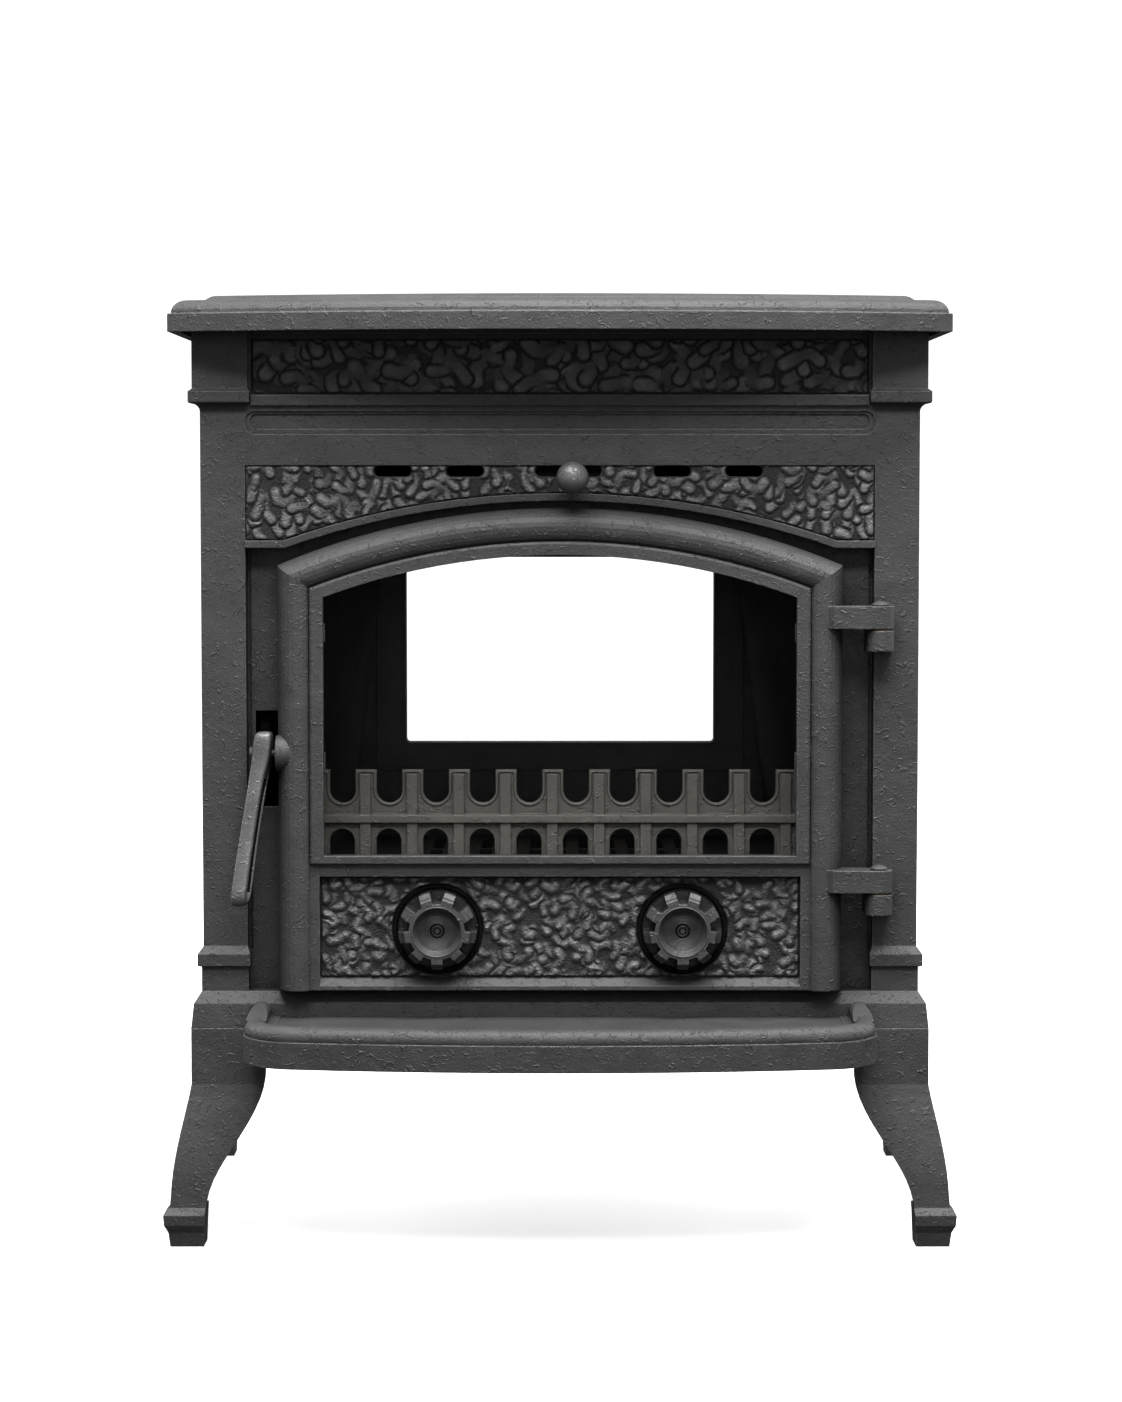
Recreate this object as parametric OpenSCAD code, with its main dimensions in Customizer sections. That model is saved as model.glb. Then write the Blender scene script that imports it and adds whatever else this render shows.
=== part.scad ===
/* [Overall] */
// Width of the top plate
top_w = 590; // [570:1:630]
// Thickness of the top plate over all
top_t = 28; // [26:1:34]
// Forward bow of the top plate's front edge
top_bow = 44; // [20:1:60]
// Width across the corner columns
body_w = 548; // [540:1:556]
// Depth of the body from the column face to the back of the rear wall
body_d = 320; // [300:1:360]
// Height of the walls
body_h = 509; // [505:1:540]
// Height of the legs
leg_h = 166; // [140:1:200]
// Height of the base plate
base_h = 28; // [26:1:34]
// Wall of the castings
wall = 6; // [5:0.5:7]

/* [Columns and front] */
// Width of a corner column
column_w = 34; // [30:1:38]
// Height of the block on top of a column
cap_block_h = 49; // [44:1:54]
// Height of the band below that block
cap_band_h = 10; // [8:0.5:12]
// How far the capital band stands out
cap_out = 8.3; // [6:0.1:10]
// How far the base band stands out
foot_out = 4.3; // [3:0.1:6]
// Setback of the door face behind the columns
rebate_y = 14; // [12:0.5:18]
// Width of the fire opening
fire_w = 380; // [360:1:388]
// Height of the ash opening
ash_h = 52; // [46:1:54]

/* [Door] */
// Width of the door
door_w = 431; // [425:1:436]
// Height of the door at its centre
door_h = 368; // [362:1:372]
// Radius of the door's arched top
door_r = 555; // [530:1:600]
// Width of the rounded border
border_w = 25; // [22:0.5:27]
// Height of the rounded border over the door face
border_rise = 6; // [4:0.5:8]
// Width of the window
window_w = 360; // [350:1:364]
// Height of the air control panel
panel_h = 78; // [74:1:82]
// Thickness of the door glass
glass_t = 4; // [3:0.5:5]

/* [Air controls] */
// Diameter of an air dial
dial_d = 61.5; // [56:0.5:64]
// Length of an air dial
dial_l = 28; // [24:1:32]
// Distance between the two dials
dial_pitch = 187; // [160:1:200]
// Diameter of the dial's stud
stud_d = 8; // [6:0.5:9]
// Length of an air slot
slot_l = 28.5; // [24:0.5:30]
// Diameter of the ball on the air slide
ball_d = 24.4; // [20:0.1:28]

/* [Hinges] */
// Diameter of a hinge pin
pin_d = 9; // [7:0.5:10]
// Height of a hinge arm
arm_h = 17; // [14:0.5:20]
// Distance between the two hinges
hinge_pitch = 201; // [180:1:210]

/* [Inside] */
// Height of the log fence
fence_h = 78; // [70:1:90]
// Distance from tooth to tooth
tooth_pitch = 36.5; // [34:0.5:40]
// Height of the ash pan
pan_h = 44; // [36:1:46]
// Bore of the flue collar
flue_d = 120; // [100:1:122]
// Length of the flue collar
flue_l = 48; // [36:1:60]

/* [Ash lip] */
// Width of the ash lip
lip_w = 476; // [440:1:490]
// How far the lip stands out in front of the columns
lip_out = 120; // [100:1:130]
// Radius of the lip's rounded corners
lip_corner = 45; // [36:1:50]

/* [Hidden] */
$fn = 48;

// Running clearance of turned pins, and of sliding and loose pieces
fit = 0.05;
gap = 0.3;
slack = 0.4;
// Length that carries a cut past a face
over = 1;

// Heights above the floor
z_base = leg_h;
z_body = z_base + base_h;
z_roof = z_body + body_h;
skirt_lap = 6;
z_cap_block = z_roof - cap_block_h;
z_cap_band = z_cap_block - cap_band_h;
cove_h = 6;
z_shaft_top = z_cap_band - cove_h;

// Column and front wall
half_w = body_w / 2;
col_in = half_w - column_w;
frame_d = 20;
rebate_t = 6;
base_block_h = 18.5;
base_band_h = 10;
base_bevel_h = 6;
foot_block_out = 1.3;
cap_block_out = 5.5;

// Depth from the lip's front to the collar's end, centred on the origin
collar_seat_y = body_d - 6;
y_shift = (lip_out - collar_seat_y - flue_l) / 2;

// Door outline
door_z = z_body + 2.6;
door_top = door_z + door_h;
door_arc_z = door_top - door_r;
door_half = door_w / 2;
door_back = rebate_y - 4;
face_y = -16;
crest_y = face_y - border_rise;
window_in = (door_w - window_w) / 2;
glass_lap = 9;
bead_in = border_w;
window_z = z_body + 106;
bead_z = window_z - 5.7;
panel_z = z_body + 12;
panel_y = -9;
panel_t = 7;
rope_in = 6;
rope_w = 11;

// Arched moulding over the door
strip_t = 5.5;
strip_half = 210;
strip_z = door_top + 5.6;
strip_end_z = strip_z - 36;
strip_r = (strip_half * strip_half + 36 * 36) / 72;
strip_arc_z = strip_z - strip_r;
field_h = 26.8;
field_top = strip_z + field_h;

// Air slots and slide
slot_x = 6.5;
slot_h = 8.7;
slot_z = field_top - slot_h / 2;
slot_near = 79;
slot_far = 134;
mid_slot_l = 50.4;
ball_x = 9.5;
ball_y = -28;
slide_t = 2;
slide_y = wall + slack;
slide_h = 18;

// Hinges and latch
pin_x = half_w - 31;
pin_y = -17;
knuckle_r = 10.5;
knuckle_h = 15.5;
washer_t = 1.4;
hinge_z = z_body + 78.4;
pivot_x = door_half + 6;
hub_off = 5;
pivot_y = -12;
pivot_z = z_body + 184;
latch_z0 = z_body + 140.7;
latch_z1 = z_body + 214.9;

// Dials
dial_z = z_body + 49;
dial_hole_d = dial_d + 7.7;
seat_y = panel_y + panel_t;
insert_r = 5.8;

// Inside levels
floor_z = z_body - 2;
pan_z = z_body + 22;
hearth_z = z_body + 88;
hearth_t = 8;
fire_z0 = hearth_z + 8;
inner_half = half_w - wall - 6;
inner_y0 = frame_d + gap;
inner_y1 = body_d - 20 - gap;

// Rear wall
rear_y = body_d - 12;
flue_z = z_roof - 87;
flange_r = flue_d / 2 + 17;
rear_w = 264;
rear_z0 = z_body + 168;
rear_z1 = flue_z - flange_r - 18;
rear_rim = 15;

// Ash lip
lip_half = lip_w / 2;
lip_bow = 22;
lip_y0 = -10;
lip_top = z_base + 10;
lip_bottom = z_base - 15;

iron = "#3b3c3e";
dark_iron = "#2c2c2d";
grey_iron = "#6a6458";
satin = "#8b8d8f";
steel = "#9a9c9f";

// Places everything from the column face to the part's own origin
module stove() translate([0, y_shift, 0]) children();

// Repeats a piece at both sides
module both_sides() {
    children();
    mirror([1, 0, 0]) children();
}

// Cube between two corners
module block(a, b) translate(a) cube(b - a);

// Flat outline in X and Z, thick from y0 to y1
module upright(y0, y1) translate([0, y1, 0]) rotate([90, 0, 0])
    linear_extrude(y1 - y0) children();

// Flat outline in Y and Z, thick from x0 to x1
module sideways(x0, x1) translate([x0, 0, 0]) rotate([90, 0, 90])
    linear_extrude(x1 - x0) children();

// Round bar along Y
module rod_y(r, y0, y1, sides = 48) translate([0, y1, 0]) rotate([90, 0, 0])
    cylinder(h = y1 - y0, r = r, $fn = sides);

// Round bar along X
module rod_x(r, x0, x1, sides = 48) translate([x0, 0, 0]) rotate([0, 90, 0])
    cylinder(h = x1 - x0, r = r, $fn = sides);

// Hexagon head along Y
module hex_y(af, y0, y1) rod_y(af / sqrt(3), y0, y1, 6);

// Rectangle with round corners
module round_rect(x0, z0, x1, z1, r) {
    translate([x0 + r, z0]) square([x1 - x0 - 2 * r, z1 - z0]);
    translate([x0, z0 + r]) square([x1 - x0, z1 - z0 - 2 * r]);
    for (x = [x0 + r, x1 - r], z = [z0 + r, z1 - r]) {
        translate([x, z]) circle(r = r);
    }
}

// Outer line of a column: how far it stands out at each height
column_line = concat(
    [[foot_block_out, z_body], [foot_block_out, z_body + base_block_h]],
    [[foot_out, z_body + base_block_h + 1]],
    [[foot_out, z_body + base_block_h + base_band_h]],
    [[0, z_body + base_block_h + base_band_h + base_bevel_h]],
    [for (a = [0:15:90]) [(cap_out - 1) * (1 - cos(a)), z_shaft_top + cove_h * sin(a)]],
    [[cap_out, z_cap_band + 1], [cap_out, z_cap_block - 1]],
    [[cap_block_out, z_cap_block + 1], [cap_block_out, z_roof]]
);

// The corner column at the right front, mitred at its outer edge
module front_column() intersection() {
    upright(-20, frame_d) polygon(concat(
        [for (p = column_line) [half_w + p[0], p[1]]],
        [for (i = [len(column_line) - 1:-1:0])
            [col_in - column_line[i][0] / 2, column_line[i][1]]]
    ));
    sideways(col_in - 20, half_w + 20) polygon(concat(
        [for (p = column_line) [-p[0], p[1]]],
        [[frame_d, z_roof], [frame_d, z_body]]
    ));
}

// Region below the arched moulding, grown by a margin
module below_strip(grow) {
    translate([-half_w, z_body - 20]) square([body_w, strip_end_z + grow - z_body + 20]);
    translate([0, strip_arc_z]) circle(r = strip_r + grow, $fn = 360);
}

module air_slots() {
    for (x = [-slot_far, -slot_near, slot_near, slot_far]) {
        slot_shape(slot_x + x, slot_l);
    }
    slot_shape(slot_x, mid_slot_l);
}

// One slot with round ends
module slot_shape(x, l) {
    translate([x - (l - slot_h) / 2, slot_z - slot_h / 2]) square([l - slot_h, slot_h]);
    for (s = [-1, 1]) {
        translate([x + s * (l - slot_h) / 2, slot_z]) circle(d = slot_h);
    }
}

// Front casting: columns, frieze, arched band and the rebate for the door
module front_frame() color(iron) stove() difference() {
    union() {
        both_sides() difference() {
            front_column();
            block([col_in + wall, wall, z_body - over], [half_w - wall, frame_d + over, z_roof + over]);
        }
        upright(0, wall) difference() {
            translate([-col_in, strip_end_z]) square([2 * col_in, z_roof - strip_end_z]);
            below_strip(0);
        }
        upright(rebate_y, rebate_y + rebate_t) intersection() {
            translate([-col_in, z_body]) square([2 * col_in, body_h]);
            below_strip(strip_t);
        }
        upright(-3, frame_d) intersection() {
            translate([-col_in, z_body]) square([2 * col_in, body_h]);
            difference() {
                below_strip(strip_t);
                below_strip(0);
            }
        }
        block([-235, -3, z_cap_band - 1.5], [235, over, z_cap_band + 6]);
        frame_knuckles();
    }
    upright(-over, 3) translate([-235, z_cap_band + 7]) square([470, z_roof - skirt_lap - z_cap_band - 7]);
    recessed_panel();
    upright(-over, 2.5) difference() {
        translate([-col_in, strip_end_z]) square([2 * col_in, field_top - strip_end_z]);
        below_strip(strip_t);
    }
    upright(-over, wall + over) air_slots();
    both_sides() block([col_in - 3, rebate_y - over, z_body + 30], [col_in, rebate_y + 3, strip_end_z]);
    upright(rebate_y - over, frame_d + over) {
        fire_opening();
        round_rect(-180, pan_z - 2, 180, pan_z - 2 + ash_h, 6);
        translate([-pivot_x - 12.7, latch_z0]) square([22, latch_z1 - latch_z0]);
    }
    for (z = [0, hinge_pitch]) {
        translate([pin_x, pin_y, hinge_z - 30 + z]) cylinder(h = 30, d = pin_d + 2 * fit);
    }
}

// The long recess under the rail, with a sloped rim and round lower corners
module recessed_panel() {
    upright(-over, 1.5) round_rect(-col_in, z_shaft_top - 17.5, col_in, z_shaft_top, 8);
    upright(-over, 3) round_rect(-col_in + 4, z_shaft_top - 13.5, col_in - 4, z_shaft_top - 2, 5);
}

module fire_opening() intersection() {
    translate([-fire_w / 2, fire_z0]) square([fire_w, body_h]);
    translate([0, door_arc_z]) circle(r = door_r - rope_in - rope_w - 2.5, $fn = 360);
}

// Lugs on the right column that carry the hinge pins
module frame_knuckles() for (z = [0, hinge_pitch]) {
    translate([0, 0, hinge_z - washer_t - gap - knuckle_h + z]) linear_extrude(knuckle_h) {
        translate([pin_x, pin_y]) circle(r = knuckle_r);
        translate([pin_x - knuckle_r, pin_y]) square([2 * knuckle_r, over - pin_y]);
    }
}

// Outer line of a side wall, followed along its whole depth
module side_wall() difference() {
    upright(frame_d, body_d - 20) polygon(concat(
        [for (p = column_line) [half_w + p[0], p[1]]],
        [[half_w - wall - 4, z_roof], [half_w - wall - 4, z_body]]
    ));
    sideways(half_w - 4, half_w + over) difference() {
        round_rect(frame_d + 30, z_body + 50, body_d - 50, z_shaft_top - 16, 12);
        side_arch();
    }
    sideways(half_w - 2, half_w + over) side_arch();
}

// Arched inner field of a side wall
module side_arch() {
    arch_r = 180;
    intersection() {
        round_rect(frame_d + 48, z_body + 68, body_d - 68, z_shaft_top - 34, 8);
        translate([body_d / 2, z_shaft_top - 34 - arch_r]) circle(r = arch_r, $fn = 180);
    }
}

module wall_with_ledge() {
    side_wall();
    block([half_w - wall - 14, inner_y0 + 10, hearth_z - hearth_t - 6],
          [half_w - wall - 3, inner_y1 - 10, hearth_z - hearth_t]);
}

module right_side() color(iron) stove() wall_with_ledge();
module left_side() color(iron) stove() mirror([1, 0, 0]) wall_with_ledge();

// Rear casting with the window opening and the flue hole
module rear_wall() color(iron) stove() difference() {
    union() {
        both_sides() difference() {
            upright(body_d - 20, body_d) polygon(concat(
                [for (p = column_line) [half_w + p[0], p[1]]],
                [[col_in, z_roof], [col_in, z_body]]
            ));
            block([col_in + wall, body_d - 20 - over, z_body - over],
                  [half_w - wall, body_d - wall, z_roof + over]);
        }
        block([-col_in - over, rear_y, z_body], [col_in + over, rear_y + wall, z_roof]);
        upright(rear_y - 5, rear_y + over)
            round_rect(-rear_w / 2 - 24, rear_z0 - 23, rear_w / 2 + 24, rear_z1 + 18, 4);
    }
    upright(rear_y - 6, rear_y + wall + over)
        round_rect(-rear_w / 2, rear_z0, rear_w / 2, rear_z1, 4);
    translate([0, 0, flue_z]) rod_y(flue_d / 2, rear_y - over, rear_y + wall + over, 96);
    for (a = [45:90:315]) {
        translate([flange_bolt_r() * cos(a), 0, flue_z + flange_bolt_r() * sin(a)])
            rod_y(3, rear_y - over, rear_y + wall + over);
    }
    for (p = rear_screws()) {
        translate([p[0], 0, p[1]]) rod_y(2, rear_y - over, rear_y + wall + over);
    }
}

function flange_bolt_r() = flue_d / 2 + 11;
function rear_screws() = [for (x = [-1, 0, 1], z = [rear_z0 - 11, rear_z1 + 11])
    [x * (rear_w / 2 - 20), z]];

// Top plate: a bowed shell with a bead, a raised field and a hanging skirt
top_edge = [[0, 0], [0, 13.3], [2.6, 13.8]];
function top_line() = concat(top_edge,
    [for (a = [0:15:90]) [2.6 + 12 * (1 - cos(a)), 14 + (top_t - 18) * sin(a)]]);

// Body with the plate's bowed plan, with an edge line of inset and height
module bowed(line, y_back, grow) {
    bow_r = (pow(top_w / 2, 2) + pow(top_bow, 2)) / (2 * top_bow);
    front = -28 - top_bow;
    top = line[len(line) - 1];
    intersection() {
        upright(front - over, y_back) polygon(concat(
            [for (p = line) [top_w / 2 + grow - p[0], p[1]]],
            [for (i = [len(line) - 1:-1:0]) [-top_w / 2 - grow + line[i][0], line[i][1]]]
        ));
        translate([0, front + bow_r, 0]) rotate_extrude($fn = 360) polygon(concat(
            [[0, line[0][1]]],
            [for (p = line) [bow_r + grow - p[0], p[1]]],
            [[0, top[1]]]
        ));
    }
}

module top_plate() color(iron) stove() translate([0, 0, z_roof - skirt_lap]) difference() {
    union() {
        bowed(top_line(), body_d + 6, 0);
        bowed([[26, top_t - 5], [27, top_t - 3], [30, top_t - 1], [33, top_t]], body_d - 22, 0);
    }
    bowed([[8, -over], [8, skirt_lap]], body_d + 6 + over, 0);
    block([-inner_half, inner_y0, 0], [inner_half, inner_y1 + 7, top_t - 10]);
    both_sides() for (y = [rod_y0(), rod_y1()]) {
        translate([rod_x0(), y, 0]) cylinder(h = top_t - 9, d = 8);
    }
}

// Centres of the tie rods inside the columns
function rod_x0() = half_w - column_w / 2;
function rod_y0() = (wall + frame_d) / 2 + 1;
function rod_y1() = body_d - 20 + 7;

// Outline of the base plate at a height, with its drafted and sloped rim
base_line = [[9, z_base], [7, z_base + base_h - 9], [foot_block_out, z_body]];

module base_body(inset, low, high) intersection() {
    upright(-40, body_d + 40) polygon(concat(
        [for (p = base_line) [half_w + p[0] - inset, p[1]]],
        [for (i = [len(base_line) - 1:-1:0]) [-half_w - base_line[i][0] + inset, base_line[i][1]]]
    ));
    sideways(-half_w - 20, half_w + 20) polygon(concat(
        [for (p = base_line) [-p[0] + inset, p[1]]],
        [for (i = [len(base_line) - 1:-1:0]) [body_d + base_line[i][0] - inset, base_line[i][1]]]
    ));
    block([-half_w - 20, -20, low], [half_w + 20, body_d + 20, high]);
}

module base_plate() color(iron) stove() difference() {
    union() {
        difference() {
            base_body(0, z_base, z_body);
            base_body(8, z_base - over, floor_z - 6);
            block([-inner_half + 3, inner_y0, floor_z], [inner_half - 3, inner_y1, z_body + over]);
        }
        both_sides() for (y = [-2, body_d - 58]) {
            block([half_w - 60, y, z_base], [half_w + 2, y + 60, floor_z - 3]);
        }
        for (x = [-110, 110]) {
            block([x - 4, inner_y0 + 10, floor_z - 1], [x + 4, inner_y1 - 40, pan_z]);
        }
    }
    both_sides() for (y = [rod_y0(), rod_y1()]) {
        translate([rod_x0(), y, z_base - over]) cylinder(h = base_h + 2 * over, d = 8.4);
    }
    for (x = lip_bolt_x()) {
        translate([x, 0, lip_bolt_z()]) rod_y(2.6, -20, 6);
    }
}

function lip_bolt_x() = [-150, 0, 150];
function lip_bolt_z() = z_base + 5;

// Profile of a leg in a front or side view: outer edge and inner edge
// by height, from the foot up
leg_outer = concat(
    [[15.2, 0], [16.6, 11], [19.6, 17], [20.2, 25], [15.6, 30]],
    [for (t = [0.1:0.1:1]) [15 * pow(cos(90 * t), 1.15), 30 + (leg_h * 0.74 - 30) * t]],
    [[0, leg_h]]
);
function leg_inner(trim) = concat(
    [[-10.4 + trim, 0], [-11.4 + trim, 24]],
    [for (t = [0.08:0.08:1]) [
        -11.4 + trim - (45.5 - trim) * (1 - cos(180 * t)) / 2,
        24 + (leg_h * 0.8 - 24) * t]],
    [[-58, leg_h]]
);

function reversed(list) = [for (i = [len(list) - 1:-1:0]) list[i]];

// One leg: two curved plates that meet at the outer corner, on a solid foot
module corner_leg(trim, rod_y) {
    edge_x = half_w + 9;
    difference() {
        intersection() {
            upright(-60, 80) polygon(concat(
                [for (p = leg_outer) [edge_x + p[0], p[1]]],
                reversed([for (p = leg_inner(trim)) [edge_x + p[0], p[1]]])
            ));
            sideways(half_w - 80, half_w + 40) polygon(concat(
                [for (p = leg_outer) [-9 - p[0], p[1]]],
                reversed([for (p = leg_inner(0)) [-9 - p[0], p[1]]])
            ));
        }
        intersection() {
            upright(-60, 80) polygon(concat(
                [for (p = leg_outer) if (p[1] >= 30) [edge_x + p[0] - wall - 1, p[1]]],
                [[edge_x - 100, leg_h], [edge_x - 100, 30]]
            ));
            sideways(half_w - 120, half_w + 40) polygon(concat(
                [for (p = leg_outer) if (p[1] >= 30) [-9 - p[0] + wall + 1, p[1]]],
                [[100, leg_h], [100, 30]]
            ));
        }
    }
    difference() {
        block([half_w - 46, -4, leg_h - 8], [half_w + 5, 46, leg_h]);
        translate([rod_x0(), rod_y, leg_h - 10]) cylinder(h = 12, d = 8.4);
    }
}

module leg_front_right() color(iron) stove() corner_leg(0, rod_y0());
module leg_front_left() color(iron) stove() mirror([1, 0, 0]) corner_leg(0, rod_y0());
module at_rear() translate([0, body_d, 0]) mirror([0, 1, 0]) children();
module leg_rear_right() color(iron) stove() at_rear() corner_leg(11, body_d - rod_y1());
module leg_rear_left() color(iron) stove() at_rear() mirror([1, 0, 0]) corner_leg(11, body_d - rod_y1());

module tie_rods() color(steel) stove() both_sides() for (y = [rod_y0(), rod_y1()]) {
    translate([rod_x0(), y, leg_h - 24]) cylinder(h = z_roof - skirt_lap + top_t - 10 - leg_h + 24, d = 8);
}

module tie_rod_nuts() color(steel) stove() both_sides() for (y = [rod_y0(), rod_y1()]) {
    translate([rod_x0(), y, leg_h - 8]) mirror([0, 0, 1]) difference() {
        union() {
            cylinder(h = 1.6, d = 18);
            translate([0, 0, 1.6]) cylinder(h = 6.5, d = 15, $fn = 6);
        }
        translate([0, 0, -over]) cylinder(h = 12, d = 8);
    }
}

// Ash lip: a dished tray with a round rim, swept along a bowed outline
lip_r = (pow(lip_half, 2) + pow(lip_bow, 2)) / (2 * lip_bow);
lip_cy = -lip_out + lip_r;
lip_cx = lip_half - lip_corner;
lip_turn = asin(lip_cx / (lip_r - lip_corner));
lip_corner_y = lip_cy - (lip_r - lip_corner) * cos(lip_turn);
rim_r = 8.5;
tray_t = 7;
tray_in = 14;
// The straight sides are drawn in by a hair and run into the corners
hair = 0.06;
lip_into = 1.5;

// Sweeps a section of distance and height round the bowed front and the corners
module lip_sweep() {
    translate([0, lip_cy, 0]) rotate([0, 0, -90 - lip_turn]) rotate_extrude(angle = 2 * lip_turn, $fn = 360)
        translate([lip_r, 0]) children();
    both_sides() translate([lip_cx, lip_corner_y, 0]) rotate([0, 0, lip_turn - 90])
        rotate_extrude(angle = 90 - lip_turn, $fn = 96) translate([lip_corner, 0]) children();
}

// Skirt of the lip, its round rim and the edge of its tray, drawn in by s
module lip_section(s) {
    translate([s - 7, lip_bottom + s]) square([7 - 2 * s, lip_top - 5 - lip_bottom - 2 * s]);
    translate([s - 24, lip_top - tray_t + s]) square([20, tray_t - 2 * s]);
    translate([-rim_r - 1, lip_top - 2.5]) circle(r = rim_r - s);
}

// Half of the tray's middle, whose edge runs inside the swept section
function tray_half() = concat(
    [for (t = [0.06:0.17:0.91]) let (a = t * lip_turn)
        [(lip_r - tray_in) * sin(a), lip_cy - (lip_r - tray_in) * cos(a)]],
    [for (t = [0.15:0.23:0.85]) let (a = lip_turn + t * (90 - lip_turn))
        [lip_cx + (lip_corner - tray_in) * sin(a), lip_corner_y - (lip_corner - tray_in) * cos(a)]],
    [[lip_half - tray_in, lip_corner_y + 9], [lip_half - tray_in, lip_y0]]
);

module tray_middle() polygon(concat(
    tray_half(),
    reversed([for (p = tray_half()) [-p[0], p[1]]])
));

// Swept border of the lip, cut off flush against the base plate
module lip_border() difference() {
    union() {
        lip_sweep() lip_section(0);
        both_sides() translate([lip_half, lip_y0 + 4, 0]) rotate([90, 0, 0])
            linear_extrude(lip_y0 + 4 + lip_into - lip_corner_y) lip_section(hair);
    }
    block([-lip_half - 20, lip_y0, lip_bottom - 20], [lip_half + 20, 20, lip_top + 40]);
}

module ash_lip() color(iron) stove() difference() {
    union() {
        lip_border();
        translate([0, 0, lip_top - tray_t + 1]) linear_extrude(tray_t - 2) tray_middle();
        both_sides() ear();
        block([-lip_half + 4, lip_y0 - 6, lip_bottom + 2], [lip_half - 4, lip_y0, lip_top - 2]);
        for (x = lip_bolt_x()) intersection() {
            translate([x, 0, lip_bolt_z()]) rod_y(8, lip_y0 - 24, lip_y0 - 5);
            block([x - 10, lip_y0 - 30, lip_bottom], [x + 10, lip_y0, lip_top - 3]);
        }
    }
    for (x = lip_bolt_x()) {
        translate([x, 0, lip_bolt_z()]) rod_y(2.5, lip_y0 - 16, lip_y0 + over);
    }
}

// Raised back end of the rim's side
module ear() intersection() {
    translate([lip_half - rim_r - 1, 0, lip_top + 3.5]) rod_y(rim_r - 0.9, lip_corner_y, lip_y0);
    sideways(lip_half - 30, lip_half) polygon([
        [lip_corner_y + 4, lip_top + 1], [lip_corner_y + 4, lip_top + 4],
        [lip_y0 - 14, lip_top + 10.5], [lip_y0 + over, lip_top + 12], [lip_y0 + over, lip_top + 1]
    ]);
}

module ash_lip_bolts() color(steel) stove() for (x = lip_bolt_x()) translate([x, 0, lip_bolt_z()]) {
    rod_y(2.5, lip_y0 - 16, 1);
    hex_y(8, 0.2, 4.2);
}

// Hearth plate with an opening for the grate
module fire_floor() color(dark_iron) stove() difference() {
    block([-inner_half + gap, inner_y0, hearth_z - hearth_t], [inner_half - gap, inner_y1, hearth_z]);
    block([-121, 69, hearth_z - 4], [121, 251, hearth_z + over]);
    block([-112, 78, hearth_z - hearth_t - over], [112, 242, hearth_z]);
}

// Loose grate with a frame and bars
module grate() color(dark_iron) stove() difference() {
    block([-120.6, 69.4, hearth_z - 4], [120.6, 250.6, hearth_z + 4]);
    for (i = [-5:5]) {
        for (y = [84, 164]) {
            translate([i * 20, y, hearth_z - 4 - over]) linear_extrude(8 + 2 * over) {
                translate([-5, 5]) square([10, 62]);
                translate([0, 5]) circle(r = 5);
                translate([0, 67]) circle(r = 5);
            }
        }
    }
}

// Log fence: a row of ribbed teeth over a ledge and a row of arches
fence_y = 50;
fence_half = 195.5;
fence_x = -6.1;
tooth_w = 16.4;
valley_z = hearth_z + fence_h - 26;
ledge_z = hearth_z + fence_h - 41;

module log_fence() color(grey_iron) stove() {
    upright(fence_y, fence_y + wall) difference() {
        translate([-fence_half, hearth_z]) square([2 * fence_half, fence_h]);
        intersection() {
            translate([-fence_half - over, hearth_z]) square([2 * fence_half + 2, fence_h + over]);
            for (i = [-6:5]) translate([fence_x + i * tooth_pitch + tooth_pitch / 2 + 0.5, 0]) valley();
        }
        for (i = [-5:4]) translate([fence_x + i * tooth_pitch + tooth_pitch / 2, 0]) small_arch();
    }
    for (i = [-5:5]) translate([fence_x + i * tooth_pitch, 0, 0]) tooth_rib();
    sideways(-fence_half, fence_half) polygon([
        [fence_y - 4, ledge_z], [fence_y + over, ledge_z - 2],
        [fence_y + over, ledge_z + 7], [fence_y - 4, ledge_z + 5.5]
    ]);
    block([-fence_half, fence_y, hearth_z], [fence_half, fence_y + 18, hearth_z + 5]);
}

// The U between two teeth
module valley() {
    half = (tooth_pitch - tooth_w) / 2;
    translate([-half, valley_z + half]) square([2 * half, fence_h]);
    translate([0, valley_z + half]) circle(r = half);
}

module small_arch() {
    translate([-9.8, hearth_z + 10]) square([19.6, 12]);
    translate([0, hearth_z + 22]) circle(r = 9.8);
}

// Raised rib on the face of a tooth
module tooth_rib() upright(fence_y - 2.5, fence_y + over) {
    translate([-4, ledge_z + 4]) square([8, hearth_z + fence_h - ledge_z - 7]);
    translate([-4, hearth_z + 5]) square([8, ledge_z - hearth_z - 5]);
}

// Cheek of the firebox, turned and leaning inwards
lean_back = atan(0.11);
lean_top = atan(0.1165);
cheek_x = half_w - 66;
cheek_y0 = 26;
cheek_y1 = inner_y1 - 4;
baffle_t = 6;
baffle_z = rear_z1 + 14;
baffle_tilt = 11;

// Everything inside one cheek, up to its inner face
module inside_cheek(t) translate([cheek_x + t, cheek_y0, hearth_z]) rotate([0, -lean_top, lean_back])
    translate([-500, -100, -200]) cube([500, 600, 700]);

module liner() difference() {
    intersection() {
        inside_cheek(8);
        block([0, cheek_y0, hearth_z], [cheek_x + 60, cheek_y1, z_roof - 30]);
    }
    inside_cheek(0);
    above_baffle();
}

module right_liner() color(dark_iron) stove() liner();
module left_liner() color(dark_iron) stove() mirror([1, 0, 0]) liner();

// Space from the baffle's underside up
module above_baffle() translate([0, inner_y1, baffle_z]) rotate([-baffle_tilt, 0, 0])
    translate([-400, -600, 0]) cube([800, 700, 400]);

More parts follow.
